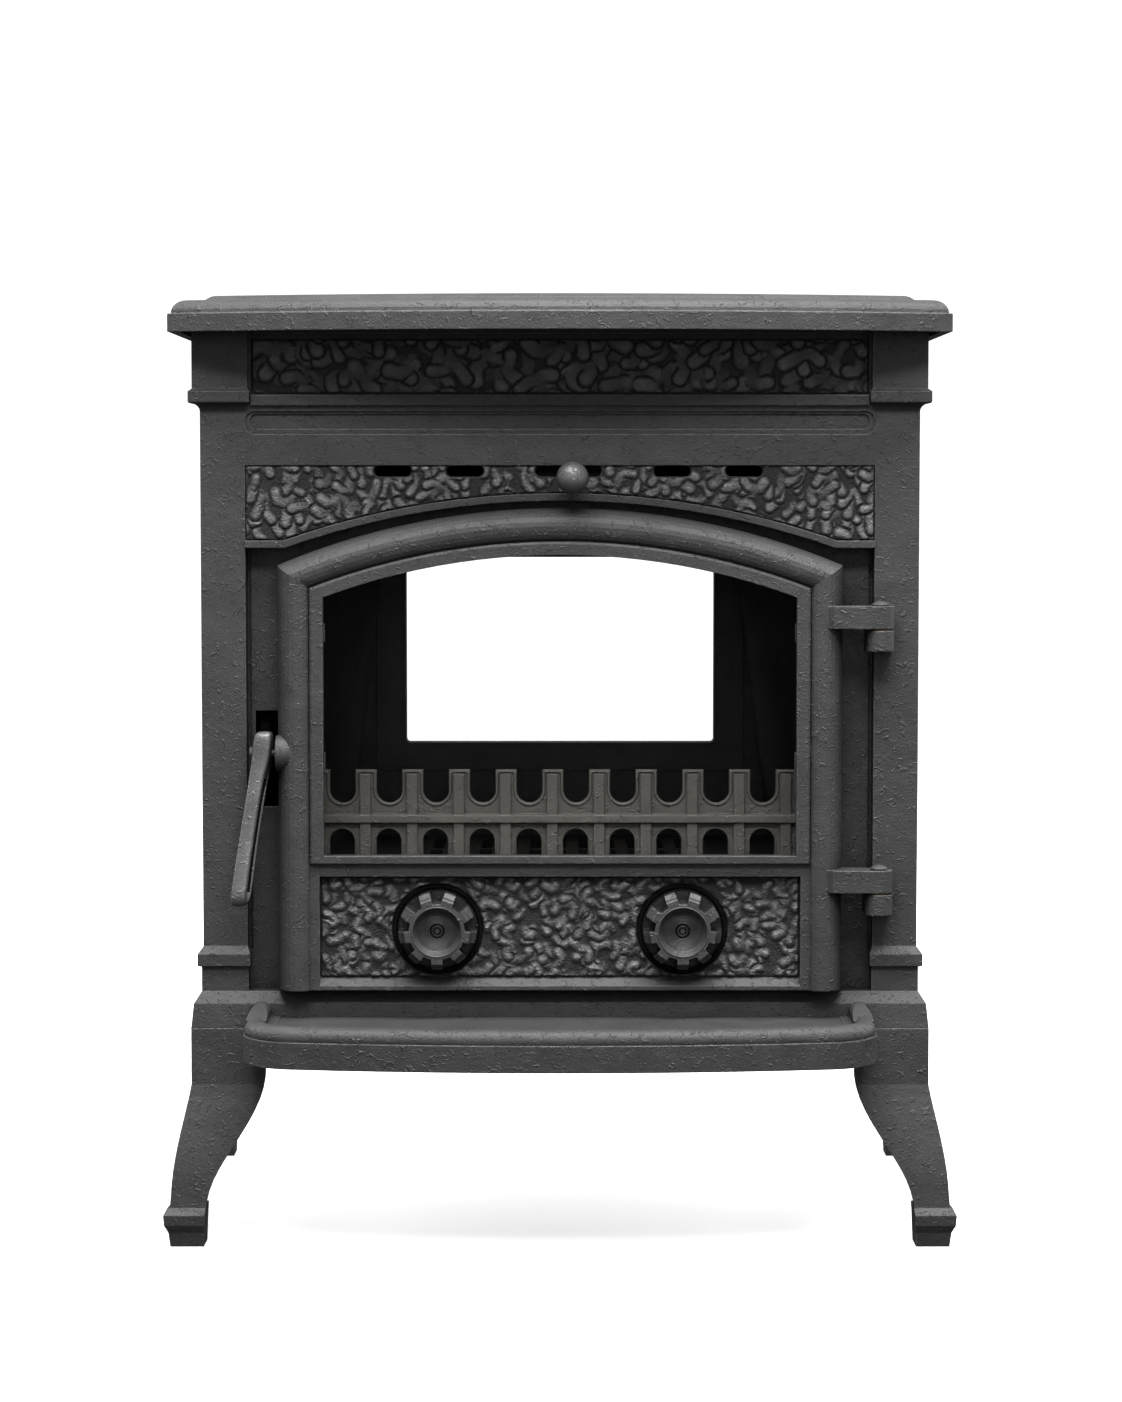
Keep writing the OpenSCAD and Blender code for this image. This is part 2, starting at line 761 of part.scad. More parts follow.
module baffle_plate() color(dark_iron) stove() intersection() {
    translate([0, inner_y1, baffle_z]) rotate([-baffle_tilt, 0, 0])
        translate([-400, -600, 0]) cube([800, 700, baffle_t]);
    block([-cheek_x - 20, 100, hearth_z], [cheek_x + 20, cheek_y1, z_roof]);
    inside_cheek(8);
    mirror([1, 0, 0]) inside_cheek(8);
}

// Sheet steel ash pan with a bail
module ash_pan() color(steel) stove() {
    difference() {
        block([-165, 30, pan_z], [165, 270, pan_z + pan_h]);
        block([-163.4, 31.6, pan_z + 1.6], [163.4, 268.4, pan_z + pan_h + over]);
    }
    difference() {
        block([-45, 23, pan_z + 18], [45, 31, pan_z + 30]);
        block([-39, 21, pan_z + 14], [39, 27, pan_z + 34]);
    }
}

// Rear window: gasket, pane, retaining frame and screws
module rear_ring(y0, y1, outer, inner) upright(y0, y1) difference() {
    round_rect(-rear_w / 2 - outer, rear_z0 - outer, rear_w / 2 + outer, rear_z1 + outer, 4);
    round_rect(-rear_w / 2 - inner, rear_z0 - inner, rear_w / 2 + inner, rear_z1 + inner, 3);
}

module rear_glass_gasket() color("#4a4742") stove()
    rear_ring(rear_y + wall, rear_y + wall + 1.6, 6.5, 0);

module rear_glass() color("#9fb0b4") stove() upright(rear_y + wall + 1.6, rear_y + wall + 1.6 + glass_t)
    round_rect(-rear_w / 2 - 6.5, rear_z0 - 6.5, rear_w / 2 + 6.5, rear_z1 + 6.5, 3);

module rear_glass_frame() color(iron) stove() difference() {
    union() {
        rear_ring(rear_y + wall, rear_y + wall + 1.6 + glass_t + 3, rear_rim, 7);
        rear_ring(rear_y + wall + 1.6 + glass_t, rear_y + wall + 1.6 + glass_t + 3, rear_rim, 0);
    }
    for (p = rear_screws()) {
        translate([p[0], 0, p[1]]) rod_y(2.1, rear_y, rear_y + 30);
    }
}

module rear_glass_screws() color(steel) stove() for (p = rear_screws()) translate([p[0], 0, p[1]]) {
    rod_y(2, rear_y, rear_y + wall + 1.6 + glass_t + 3);
    rod_y(3.5, rear_y + wall + 4.6 + glass_t, rear_y + wall + 7 + glass_t);
}

// Flue collar with a flange on the rear wall
module flue_collar() color(iron) stove() translate([0, 0, flue_z]) difference() {
    union() {
        rod_y(flange_r, collar_seat_y, collar_seat_y + 7, 96);
        rod_y(flue_d / 2 + 5, collar_seat_y, collar_seat_y + flue_l, 96);
    }
    rod_y(flue_d / 2, collar_seat_y - over, collar_seat_y + flue_l + over, 96);
    for (a = [45:90:315]) {
        translate([flange_bolt_r() * cos(a), 0, flange_bolt_r() * sin(a)])
            rod_y(3.1, collar_seat_y - over, collar_seat_y + 10);
    }
}

module flue_collar_bolts() color(steel) stove() for (a = [45:90:315]) {
    translate([flange_bolt_r() * cos(a), 0, flue_z + flange_bolt_r() * sin(a)]) {
        rod_y(3, rear_y - 4, collar_seat_y + 7);
        hex_y(9, collar_seat_y + 7, collar_seat_y + 11);
    }
}

// Two strips behind the arched band that guide the air slide
module slide_guides() color(steel) stove() for (s = [-1, 1]) {
    translate([slot_x, 0, slot_z]) mirror([0, 0, s < 0 ? 1 : 0]) sideways(-182, 182) polygon([
        [wall, slide_h / 2 + slack], [wall, slide_h / 2 + 7],
        [slide_y + slide_t + slack + 1.5, slide_h / 2 + 7],
        [slide_y + slide_t + slack + 1.5, slide_h / 2 - 2],
        [slide_y + slide_t + slack, slide_h / 2 - 2],
        [slide_y + slide_t + slack, slide_h / 2 + slack]
    ]);
}

module slide_guide_screws() color(steel) stove()
    for (x = [-160, 160], s = [-1, 1]) {
        translate([slot_x + x, 0, slot_z + s * (slide_h / 2 + 3.9)])
            rod_y(2.6, slide_y + slide_t + slack + 1.5, slide_y + slide_t + slack + 3.5);
    }

// Hinge pins with a domed head, fixed in the column's lugs
module hinge_pins() color(steel) stove() for (z = [0, hinge_pitch]) {
    translate([pin_x, pin_y, hinge_z + z]) {
        translate([0, 0, -washer_t - gap - knuckle_h])
            cylinder(h = washer_t + gap + knuckle_h + arm_h + gap, d = pin_d);
        translate([0, 0, arm_h + gap]) intersection() {
            cylinder(h = 3.4, r = 6.6);
            translate([0, 0, -6]) sphere(r = 9.6);
        }
    }
}

module hinge_washers() color("#b08d4f") stove() for (z = [0, hinge_pitch]) {
    translate([pin_x, pin_y, hinge_z - gap - washer_t + z]) difference() {
        cylinder(h = washer_t, r = 8);
        translate([0, 0, -over]) cylinder(h = 4, d = pin_d + 2 * fit);
    }
}

// Body with the door's arched outline: each point is a distance in from
// the edge and a depth, and the lower edge is at z_low
module door_form(line, z_low) intersection() {
    last = len(line) - 1;
    translate([0, 0, z_low]) linear_extrude(door_h + 40) polygon(concat(
        [for (p = line) [door_half - p[0], p[1]]],
        [for (i = [last:-1:0]) [line[i][0] - door_half, line[i][1]]]
    ));
    translate([0, 0, door_arc_z]) rotate([-90, 0, 0]) rotate_extrude($fn = 360) polygon(concat(
        [[0, line[0][1]]], [for (p = line) [door_r - p[0], p[1]]], [[0, line[last][1]]]
    ));
}

// Straight-walled body inside the door's outline
module door_prism(inset, y0, y1, z_low) upright(y0, y1) intersection() {
    translate([inset - door_half, z_low]) square([2 * (door_half - inset), door_h]);
    translate([0, door_arc_z]) circle(r = door_r - inset, $fn = 360);
}

crest_in = border_w * 0.55;
border_line = concat([[0, door_back]],
    [for (a = [0:15:90]) [crest_in * (1 - cos(a)), -2 + (crest_y + 2) * sin(a)]]);
fall_line = concat([[crest_in, crest_y - 10]],
    [for (a = [0:18:90]) [crest_in + (border_w - crest_in) * sin(a), face_y - border_rise * cos(a)]]);
bead_line = [[bead_in, face_y + over], [bead_in, face_y - 2], [bead_in + 0.8, face_y - 3],
    [bead_in + 2.2, face_y - 3.6]];

// Door casting: rounded border, window bead and the panel for the dials
module door_frame() color(iron) stove() difference() {
    union() {
        difference() {
            door_form(border_line, door_z);
            door_form(fall_line, door_z - 30);
            door_prism(rope_in + rope_w + 3, face_y + 8, door_back + over, door_z + 21);
        }
        door_form(bead_line, bead_z);
        difference() {
            block([-door_half + 15, face_y, door_z + 3], [door_half - 15, seat_y, bead_z]);
            door_prism(window_in - glass_lap - 2, glass_y() - 2, 20, window_z - glass_lap - 2);
        }
        dial_seats();
        door_arms();
        handle_boss();
    }
    door_prism(window_in, face_y - 20, door_back + 10, window_z);
    difference() {
        door_prism(rope_in, 0, door_back + over, door_z + rope_in);
        door_prism(rope_in + rope_w, -over, door_back + 2 * over, door_z + rope_in + rope_w);
    }
    sideways(-door_half + 32, door_half - 32) polygon([
        [panel_y, panel_z], [panel_y, panel_z + panel_h],
        [face_y - over, panel_z + panel_h], [face_y - over, panel_z - 7]
    ]);
    for (s = [-1, 1]) translate([s * dial_pitch / 2, 0, dial_z]) {
        rod_y(dial_hole_d / 2, face_y - 10, seat_y);
        rod_y(stud_d / 2 + fit, seat_y - over, 20);
    }
    for (z = [0, hinge_pitch]) {
        translate([pin_x, pin_y, hinge_z - over + z]) cylinder(h = arm_h + 2 * over, d = pin_d + 2 * fit);
    }
    translate([0, pivot_y, pivot_z]) rod_x(3.05, -pivot_x - 20, -door_half + 15);
    for (p = clip_places()) {
        translate([p[0], 0, p[1]]) rod_y(2, face_y + 4, 20);
    }
}

// Valve seat behind a dial, with arms that carry its stud
module dial_seats() for (s = [-1, 1]) translate([s * dial_pitch / 2, 0, dial_z]) {
    difference() {
        rod_y(dial_d / 2 + 8, seat_y, seat_y + 6, 72);
        rod_y(dial_d / 2 - 4, seat_y - over, seat_y + 7, 72);
    }
    for (a = [90:120:330]) rotate([0, a, 0]) block([0, seat_y, -3.5], [dial_d / 2, seat_y + 6, 3.5]);
    rod_y(9, seat_y, seat_y + 6);
}

// Two arms that reach out from the stile to the hinge pins
module door_arms() for (z = [0, hinge_pitch]) {
    translate([0, 0, hinge_z + z]) linear_extrude(arm_h) {
        translate([pin_x, pin_y]) circle(r = knuckle_r);
        polygon([
            [door_half - 16, crest_y + 3], [door_half - 8, -25.4], [door_half + 8, -27.2],
            [pin_x, pin_y - knuckle_r], [pin_x, pin_y + knuckle_r],
            [door_half - 1, 2], [door_half - 16, 2]
        ]);
    }
}

// Domed boss on the left stile for the handle's pin
module handle_boss() translate([-door_half, pivot_y, pivot_z]) intersection() {
    translate([3, 2, 0]) sphere(r = 14);
    block([-0.7, -30, -30], [30, 12, 30]);
}

module door_glass() color("#9fb0b4") stove()
    door_prism(window_in - glass_lap, glass_y(), glass_y() + glass_t, window_z - glass_lap);

function glass_y() = face_y + 10;

module door_glass_gasket() color("#4a4742") stove() difference() {
    door_prism(window_in - glass_lap, glass_y() - 2, glass_y(), window_z - glass_lap);
    door_prism(window_in - 2, glass_y() - 3, glass_y() + over, window_z - 2);
}

// Height of the window's straight sides
function window_side() = door_arc_z + sqrt(pow(door_r - window_in, 2) - pow(window_w / 2, 2)) - window_z;

// Clip screws sit just outside the pane
function clip_places() = concat(
    [for (s = [-1, 1], t = [0.36, 0.86])
        [s * (window_w / 2 + glass_lap + 2.6), window_z + t * window_side()]],
    [for (x = [-90, 90]) [x, window_z - glass_lap - 4.6]]
);

module glass_clips() color(steel) stove() for (p = clip_places()) {
    side = abs(p[0]) > 100;
    dx = side ? -sign(p[0]) * 6 : 0;
    dz = side ? 0 : 6;
    back = glass_y() + glass_t;
    half_x = side ? 2.4 : 7;
    half_z = side ? 7 : 2.2;
    translate([p[0], 0, p[1]]) difference() {
        block([min(dx, 0) * 1.6 - half_x, back, min(dz, 0) - half_z],
              [max(dx, 0) * 1.6 + half_x, back + 2, max(dz, 0) * 1.6 + half_z]);
        rod_y(2.05, -20, 20);
    }
}

module glass_clip_screws() color(steel) stove() for (p = clip_places()) translate([p[0], 0, p[1]]) {
    rod_y(2, face_y + 4, glass_y() + glass_t + 2);
    rod_y(3, glass_y() + glass_t + 2, glass_y() + glass_t + 4);
}

module door_rope_seal() color("#5a564e") stove() difference() {
    door_prism(rope_in + 0.2, 0, rebate_y - gap, door_z + rope_in + 0.2);
    door_prism(rope_in + rope_w - 0.2, -over, rebate_y + over, door_z + rope_in + rope_w - 0.2);
}

// Pin that carries the handle at the door's left edge
module handle_pin() color(steel) stove() translate([0, pivot_y, pivot_z]) {
    rod_x(3, -pivot_x - hub_off - 7.5, -door_half + 14);
    rod_x(5, -pivot_x - hub_off - 9.5, -pivot_x - hub_off - 7.5);
}

module left_dial_stud() color(steel) stove() dial_stud(-1);
module right_dial_stud() color(steel) stove() dial_stud(1);
module dial_stud(s) translate([s * dial_pitch / 2, 0, dial_z])
    rod_y(stud_d / 2, seat_y - dial_l + 10, seat_y + 13);

module dial_stud_nuts() color(steel) stove() for (s = [-1, 1]) {
    translate([s * dial_pitch / 2, 0, dial_z]) difference() {
        hex_y(stud_d + 5, seat_y + 6, seat_y + 12);
        rod_y(stud_d / 2, seat_y, seat_y + 20);
    }
}

// Air dial: a disc, a ring of ribs and a dished front
dial_ribs = 9;
module dial(s) translate([s * dial_pitch / 2, 0, dial_z]) {
    r = dial_d / 2;
    back = seat_y - gap;
    front = back - dial_l;
    difference() {
        union() {
            rod_y(r, back - 4.5, back, 96);
            rod_y(r * 0.69, front, back, 96);
            for (i = [0:dial_ribs - 1]) rotate([0, 20 + i * 360 / dial_ribs, 0]) intersection() {
                sideways(-4.3, 4.3) polygon([
                    [back - 4, r * 0.64], [back - 4, r + 2], [front + 12, r + 2],
                    [front + 5, r * 0.86], [front + 1, r * 0.83], [front, r * 0.8], [front, r * 0.64]
                ]);
                rod_y(r - 1, front, back, 96);
            }
        }
        translate([0, front - 16, 0]) sphere(r = 24, $fn = 96);
        rotate([-90, 0, 0]) translate([0, 0, front - over])
            cylinder(h = 6, r1 = r * 0.58 + 1.5, r2 = r * 0.5);
        rod_y(insert_r + fit, front, back + over, 64);
    }
}

module right_dial() color(iron) stove() dial(1);
module left_dial() color(iron) stove() dial(-1);

// Threaded insert in a dial's hub
module dial_insert(s) translate([s * dial_pitch / 2, 0, dial_z]) difference() {
    rod_y(insert_r, seat_y - gap - dial_l + 8.5, seat_y - gap, 64);
    rod_y(stud_d / 2 + fit, seat_y - dial_l + 10 - 1.5, seat_y + over, 64);
    rod_y(2, seat_y - dial_l, seat_y, 32);
}

module left_dial_insert() color(steel) stove() dial_insert(-1);
module right_dial_insert() color(steel) stove() dial_insert(1);

// Slide plate with windows behind the slots
module air_slide() color(steel) stove() upright(slide_y, slide_y + slide_t) difference() {
    translate([slot_x - 166, slot_z - slide_h / 2]) square([332, slide_h]);
    for (x = [-slot_far, -slot_near, slot_near, slot_far]) {
        translate([slot_x + x - slot_l / 2 + 1, slot_z - 5]) square([slot_l - 2, 10]);
    }
}

// Inclined rod from the slide plate to the ball
rod_tilt = 9;
module slide_rod() color(steel) stove() intersection() {
    translate([ball_x, slide_y, slot_z - 0.2]) rotate([rod_tilt, 0, 0]) rod_y(3, ball_y - slide_y + 6, 3, 32);
    block([ball_x - 10, ball_y, slot_z - 20], [ball_x + 10, slide_y, slot_z + 20]);
}

module slide_ball() color(satin) stove() difference() {
    translate([ball_x, ball_y, slot_z - 5.4]) sphere(d = ball_d, $fn = 64);
    translate([ball_x, slide_y, slot_z - 0.2]) rotate([rod_tilt, 0, 0]) rod_y(3, ball_y - slide_y + 6, 3, 32);
}

// Handle: a channelled lever on a hub, with a hook behind it
lever_lean = 5;
lever_turn = 14;
hub_x0 = -6.3;
hub_x1 = 5.5;
module handle() color(satin) stove() translate([-pivot_x - hub_off, pivot_y, pivot_z]) difference() {
    union() {
        rod_x(9.5, hub_x0, hub_x1);
        sideways(hub_x0, hub_x1) lever_head();
        intersection() {
            lever_placed() sideways(hub_x0, hub_x1) lever_side();
            block([-60, -80, -140], [hub_x1, 40, 40]);
        }
        sideways(-5, 3) hook_side();
    }
    lever_placed() sideways(0, hub_x1 + 20) lever_channel();
    rod_x(3.05, -10, 10);
    rod_x(6, -40, hub_x0);
}

module lever_placed() rotate([0, lever_lean, -lever_turn]) children();

module lever_head() {
    translate([-9, 0]) square([14, 12]);
    translate([-7, 12]) square([12, 4]);
    translate([1, 12]) circle(r = 4);
}

module lever_side() polygon(concat(
    [[-9.5, 3], [-13, -20], [-23, -64], [-35.5, -104]],
    [for (a = [195:15:345]) [-27.5 + 8 * cos(a), -106 + 8 * sin(a)]],
    [[-8, -64], [2, -24], [7, -8], [5, 3]]
));

// Channel in the side that faces the door
module lever_channel() polygon([
    [0, -22], [-9.5, -22], [-19.5, -64], [-31.5, -103],
    [-29, -109], [-24, -109], [-11.5, -64], [-2, -26]
]);

module hook_side() {
    polygon([[0, 5], [0, -7], [24, -9], [42, 8], [42, 27], [35, 27], [34, 12], [22, 5]]);
}

top_plate();
front_frame();
left_side();
right_side();
rear_wall();
base_plate();
leg_front_left();
leg_front_right();
leg_rear_left();
leg_rear_right();
tie_rods();
tie_rod_nuts();
ash_lip();
ash_lip_bolts();
fire_floor();
grate();
log_fence();
left_liner();
right_liner();
baffle_plate();
ash_pan();
rear_glass();
rear_glass_gasket();
rear_glass_frame();
rear_glass_screws();
flue_collar();
flue_collar_bolts();
slide_guides();
slide_guide_screws();
hinge_pins();
hinge_washers();
door_frame();
door_glass();
door_glass_gasket();
glass_clips();
glass_clip_screws();
door_rope_seal();
handle_pin();
left_dial_stud();
right_dial_stud();
dial_stud_nuts();
handle();
left_dial();
right_dial();
left_dial_insert();
right_dial_insert();
air_slide();
slide_rod();
slide_ball();
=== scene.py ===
"""Cast iron wood stove: cast relief, fittings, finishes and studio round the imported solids."""
import math

import bmesh
import bpy
import numpy as np
from bpy.props import FloatProperty, FloatVectorProperty, IntProperty
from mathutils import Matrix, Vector


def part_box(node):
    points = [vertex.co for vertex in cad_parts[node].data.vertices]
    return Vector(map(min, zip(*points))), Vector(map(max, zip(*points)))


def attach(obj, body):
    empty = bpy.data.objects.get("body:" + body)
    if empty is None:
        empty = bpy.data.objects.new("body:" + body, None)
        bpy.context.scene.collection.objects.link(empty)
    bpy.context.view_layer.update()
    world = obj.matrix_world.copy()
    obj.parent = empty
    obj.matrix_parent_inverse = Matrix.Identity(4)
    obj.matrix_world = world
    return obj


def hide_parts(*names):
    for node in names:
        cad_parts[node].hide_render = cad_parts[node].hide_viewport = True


bl_info = {
    "name": "Cast Iron Wood Stove",
    "version": (1, 0, 0),
    "blender": (4, 5, 0),
    "location": "View3D > Sidebar > Stove",
    "description": "Adds the cast relief, finishes and studio of a small wood stove",
    "category": "Object",
}

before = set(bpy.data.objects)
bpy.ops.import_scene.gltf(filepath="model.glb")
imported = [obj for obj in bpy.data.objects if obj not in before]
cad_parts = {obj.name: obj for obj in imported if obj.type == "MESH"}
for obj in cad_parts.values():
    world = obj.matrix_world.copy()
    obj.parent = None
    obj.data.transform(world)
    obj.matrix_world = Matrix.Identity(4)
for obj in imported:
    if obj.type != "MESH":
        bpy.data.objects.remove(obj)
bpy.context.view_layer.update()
MM = 0.001

# Places of the castings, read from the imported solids, with the sizes that a box doesn't give
SIDE_LOW, SIDE_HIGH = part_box("left_side")
SIDE_SETBACK = 20 * MM
COLUMN_Y = SIDE_LOW.y - SIDE_SETBACK
BODY_LOW = SIDE_LOW.z
BODY_HIGH = SIDE_HIGH.z
DOOR_LOW, DOOR_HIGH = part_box("door_frame")
DOOR_HALF = 215.5 * MM
DOOR_RADIUS = 555 * MM
ROPE_W = 10.6 * MM
DIAL_LOW, DIAL_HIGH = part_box("left_dial")
DIAL_X = abs(DIAL_LOW.x + DIAL_HIGH.x) / 2
DIAL_Z = (DIAL_LOW.z + DIAL_HIGH.z) / 2
DIAL_DISH = 17.6 * MM


def depth(mm):
    """Row position of a depth behind the face of the front columns."""
    return COLUMN_Y + mm * MM


# ---------------------------------------------------------------- materials


class Finish:
    """A node material under construction."""

    def __init__(self, name):
        self.material = bpy.data.materials.new(name)
        self.material.use_nodes = True
        self.tree = self.material.node_tree
        self.shader = self.tree.nodes["Principled BSDF"]
        self.place = self.tree.nodes.new("ShaderNodeTexCoord").outputs["Object"]
        self.normal = None

    def node(self, kind, **settings):
        """A new node with its settings."""
        made = self.tree.nodes.new(kind)
        for key, value in settings.items():
            setattr(made, key, value)
        return made

    def link(self, source, target):
        """Joins an output socket to an input socket."""
        self.tree.links.new(source, target)

    def set(self, **values):
        """Plain numbers on the shader's own sockets."""
        for key, value in values.items():
            self.shader.inputs[key.replace("_", " ")].default_value = value

    def moved(self, scale=(1, 1, 1), by=(0, 0, 0)):
        """Object coordinates scaled and shifted along each axis."""
        mapping = self.node("ShaderNodeMapping")
        self.link(self.place, mapping.inputs["Vector"])
        mapping.inputs["Scale"].default_value = scale
        mapping.inputs["Location"].default_value = by
        return mapping.outputs["Vector"]

    def noise(self, size, detail=3.0, rough=0.5, warp=0.0, vector=None):
        """Noise whose features are about size metres across."""
        made = self.node("ShaderNodeTexNoise")
        self.link(vector or self.place, made.inputs["Vector"])
        made.inputs["Scale"].default_value = 1.0 / size
        made.inputs["Detail"].default_value = detail
        made.inputs["Roughness"].default_value = rough
        made.inputs["Distortion"].default_value = warp
        return made.outputs["Fac"]

    def spread(self, source, low, high, out_low=0.0, out_high=1.0):
        """A value's range low to high laid over another range, and held at its ends."""
        made = self.node("ShaderNodeMapRange")
        self.link(source, made.inputs["Value"])
        made.inputs["From Min"].default_value = low
        made.inputs["From Max"].default_value = high
        made.inputs["To Min"].default_value = out_low
        made.inputs["To Max"].default_value = out_high
        return made.outputs["Result"]

    def calc(self, operation, a, b=None):
        """One step of arithmetic on sockets or plain numbers."""
        made = self.node("ShaderNodeMath", operation=operation)
        for socket, value in zip(made.inputs, (a, b)):
            if isinstance(value, (int, float)):
                socket.default_value = value
            elif value is not None:
                self.link(value, socket)
        return made.outputs["Value"]

    def times(self, a, b):
        """The product of two values."""
        return self.calc("MULTIPLY", a, b)

    def plus(self, a, b):
        """The sum of two values."""
        return self.calc("ADD", a, b)

    def ramp(self, source, stops):
        """Colours at stops along a value."""
        made = self.node("ShaderNodeValToRGB")
        self.link(source, made.inputs["Fac"])
        bar = made.color_ramp.elements
        for stop, (at, color) in zip(bar, stops):
            stop.position = at
            stop.color = (*color, 1.0)
        return made.outputs["Color"]

    def mix(self, amount, a, b):
        """Colour a going over to colour b by an amount."""
        made = self.node("ShaderNodeMix", data_type="RGBA")
        self.link(amount, made.inputs["Factor"])
        for key, value in (("A", a), ("B", b)):
            socket = [s for s in made.inputs if s.name == key and s.type == "RGBA"][0]
            if isinstance(value, tuple):
                socket.default_value = (*value, 1.0)
            else:
                self.link(value, socket)
        return [s for s in made.outputs if s.type == "RGBA"][0]

    def rounded(self, radius):
        """Softens the shading of sharp edges, and gives a mask of where they are."""
        bevel = self.node("ShaderNodeBevel", samples=6)
        bevel.inputs["Radius"].default_value = radius
        self.normal = bevel.outputs["Normal"]
        plain = self.node("ShaderNodeNewGeometry").outputs["Normal"]
        dot = self.node("ShaderNodeVectorMath", operation="DOT_PRODUCT")
        self.link(bevel.outputs["Normal"], dot.inputs[0])
        self.link(plain, dot.inputs[1])
        return self.spread(dot.outputs["Value"], 0.995, 0.8)

    def dial_rings(self, pitch):
        """Fine turned rings about the two dials' axes."""
        split = self.node("ShaderNodeSeparateXYZ")
        self.link(self.place, split.inputs["Vector"])
        off = self.calc("SUBTRACT", self.calc("ABSOLUTE", split.outputs["X"]), DIAL_X)
        up = self.calc("SUBTRACT", split.outputs["Z"], DIAL_Z)
        out = self.calc("SQRT", self.plus(self.calc("POWER", off, 2.0),
                                          self.calc("POWER", up, 2.0)))
        wave = self.calc("SINE", self.times(out, 2 * math.pi / pitch))
        return self.times(wave, self.spread(out, DIAL_DISH, DIAL_DISH + 0.6 * MM, 1.0, 0.0))

    def painted_crease_shade(self, reach, own_only=False):
        """Nearness of other surfaces, for painted shade: 1 deep in a crease, 0 in the open."""
        made = self.node("ShaderNodeAmbientOcclusion", samples=6, only_local=own_only)
        made.inputs["Distance"].default_value = reach
        return self.spread(made.outputs["AO"], 0.88, 0.3)

    def bump(self, height, strength, distance):
        """Adds a height to the shading, on top of the bumps before it."""
        made = self.node("ShaderNodeBump")
        made.inputs["Strength"].default_value = strength
        made.inputs["Distance"].default_value = distance
        self.link(height, made.inputs["Height"])
        if self.normal is not None:
            self.link(self.normal, made.inputs["Normal"])
        self.normal = made.outputs["Normal"]

    def done(self, color, roughness):
        """Links the colour, the roughness and the bumps, and gives the material."""
        self.link(color, self.shader.inputs["Base Color"])
        self.link(roughness, self.shader.inputs["Roughness"])
        if self.normal is not None:
            self.link(self.normal, self.shader.inputs["Normal"])
        return self.material


def shade(color, factor):
    """A colour made lighter or darker."""
    return tuple(min(1.0, c * factor) for c in color)


def nicks(f, size, width, amount, seed):
    """Sparse short curved marks, as a worn mould leaves: 1 on the mark, 0 elsewhere."""
    lines = f.noise(size, 1.0, 0.4, 0.7, f.moved(by=(seed, 2 * seed, 3 * seed)))
    off = f.calc("ABSOLUTE", f.calc("SUBTRACT", lines, 0.5))
    band = f.spread(off, width * 0.3, width, 1.0, 0.0)
    patch = f.spread(f.noise(size * 0.8, 2.0), 1 - amount, 1.06 - amount)
    return f.times(band, patch)


# Sizes of the marks that a worn sand mould leaves, and reach of the painted shade in the castings'
# corners
BLOTCH, SWELL, SCORE, NICK = 45 * MM, 22 * MM, 11 * MM, 6.5 * MM
CRUMPLE, RIPPLE, SAND = 4.6 * MM, 3.4 * MM, 1.25 * MM
CREASE_SHADE_REACH = 26 * MM


def casting_finish(name, color, worn, grain, roughness, edge=1.1 * MM, hollows=False,
                   gloss=0.5, turned_rings=False, standing_clear=False):
    """Sand-cast iron under matt paint: fine grain, low swells, nicks, rubbed edges and painted
    shade.

    grain scales the fine marks and edge is the radius of the rubbed edges, which are lightened
    as wear and as a painted highlight. The colour takes painted shade in corners and where
    other surfaces are near. hollows is for the cast relief, whose ground is painted dark as
    shade and whose crests are lightened as wear and as a painted highlight. standing_clear is
    for a piece whose painted shade comes from its own corners alone.
    """
    f = Finish(name)
    rim = f.rounded(edge)
    swell = f.noise(SWELL, 2.0, 0.45, 0.4)
    blotch = f.noise(BLOTCH, 5.0, 0.6, 1.2)
    sand = f.noise(SAND, 4.0, 0.65)
    marks = nicks(f, NICK, 0.05, 0.45, 0.37)
    scores = nicks(f, SCORE, 0.03, 0.45, 0.81)
    ripple = f.noise(RIPPLE, 1.0, 0.4, 1.6)
    f.bump(swell, 0.6, 1.6 * MM)
    f.bump(marks, 0.9, 0.42 * MM)
    f.bump(scores, 0.9, 0.42 * MM)
    f.bump(ripple, 0.5 * grain, 0.5 * MM)
    f.bump(sand, 0.75 * grain, 0.5 * MM)
    if turned_rings:
        f.bump(f.dial_rings(0.95 * MM), 0.7, 0.35 * MM)
    tone = f.ramp(blotch, [(0.3, shade(color, 0.84)), (0.7, shade(color, 1.16))])
    speck = f.spread(sand, 0.35, 0.7, 0.0, 0.4)
    tone = f.mix(speck, tone, shade(color, 1.5))
    tone = f.mix(f.times(f.plus(marks, scores), 0.035), tone, worn)
    # Rubbed edges go lighter toward the worn colour: part wear, part a painted highlight along the
    # edges
    rubbed = f.times(rim, f.spread(f.noise(6 * MM, 4.0), 0.38, 0.62, 0.35, 1.0))
    tone = f.mix(f.times(rubbed, 0.8), tone, worn)
    rough = f.plus(f.spread(blotch, 0.3, 0.7, roughness - 0.05, roughness + 0.05),
                   f.times(rubbed, -0.16))
    # Painted shade: the colour goes near black where other surfaces are close, in corners and
    # under overhangs
    tone = f.mix(f.times(f.painted_crease_shade(CREASE_SHADE_REACH, standing_clear), 0.9), tone, shade(color, 0.12))
    if hollows:
        f.bump(f.noise(CRUMPLE, 2.0, 0.5, 2.2), 1.0, 1.3 * MM)
        height = f.node("ShaderNodeAttribute", attribute_name="cast_height").outputs["Fac"]
        # Painted shade: the low ground between the tongues is darkened to near black
        tone = f.mix(f.spread(height, 0.15, 0.6, 0.88, 0.0), tone, shade(color, 0.04))
        # Lighter crests: part wear, part a painted highlight on the raised tongues
        tone = f.mix(f.spread(height, 0.6, 0.98, 0.0, 0.7), tone, shade(worn, 1.1))
        rough = f.plus(rough, f.spread(height, 0.2, 0.8, 0.4, -0.16))
    f.set(Metallic=0.0, IOR=1.5, Specular_IOR_Level=gloss)
    return f.done(tone, rough)


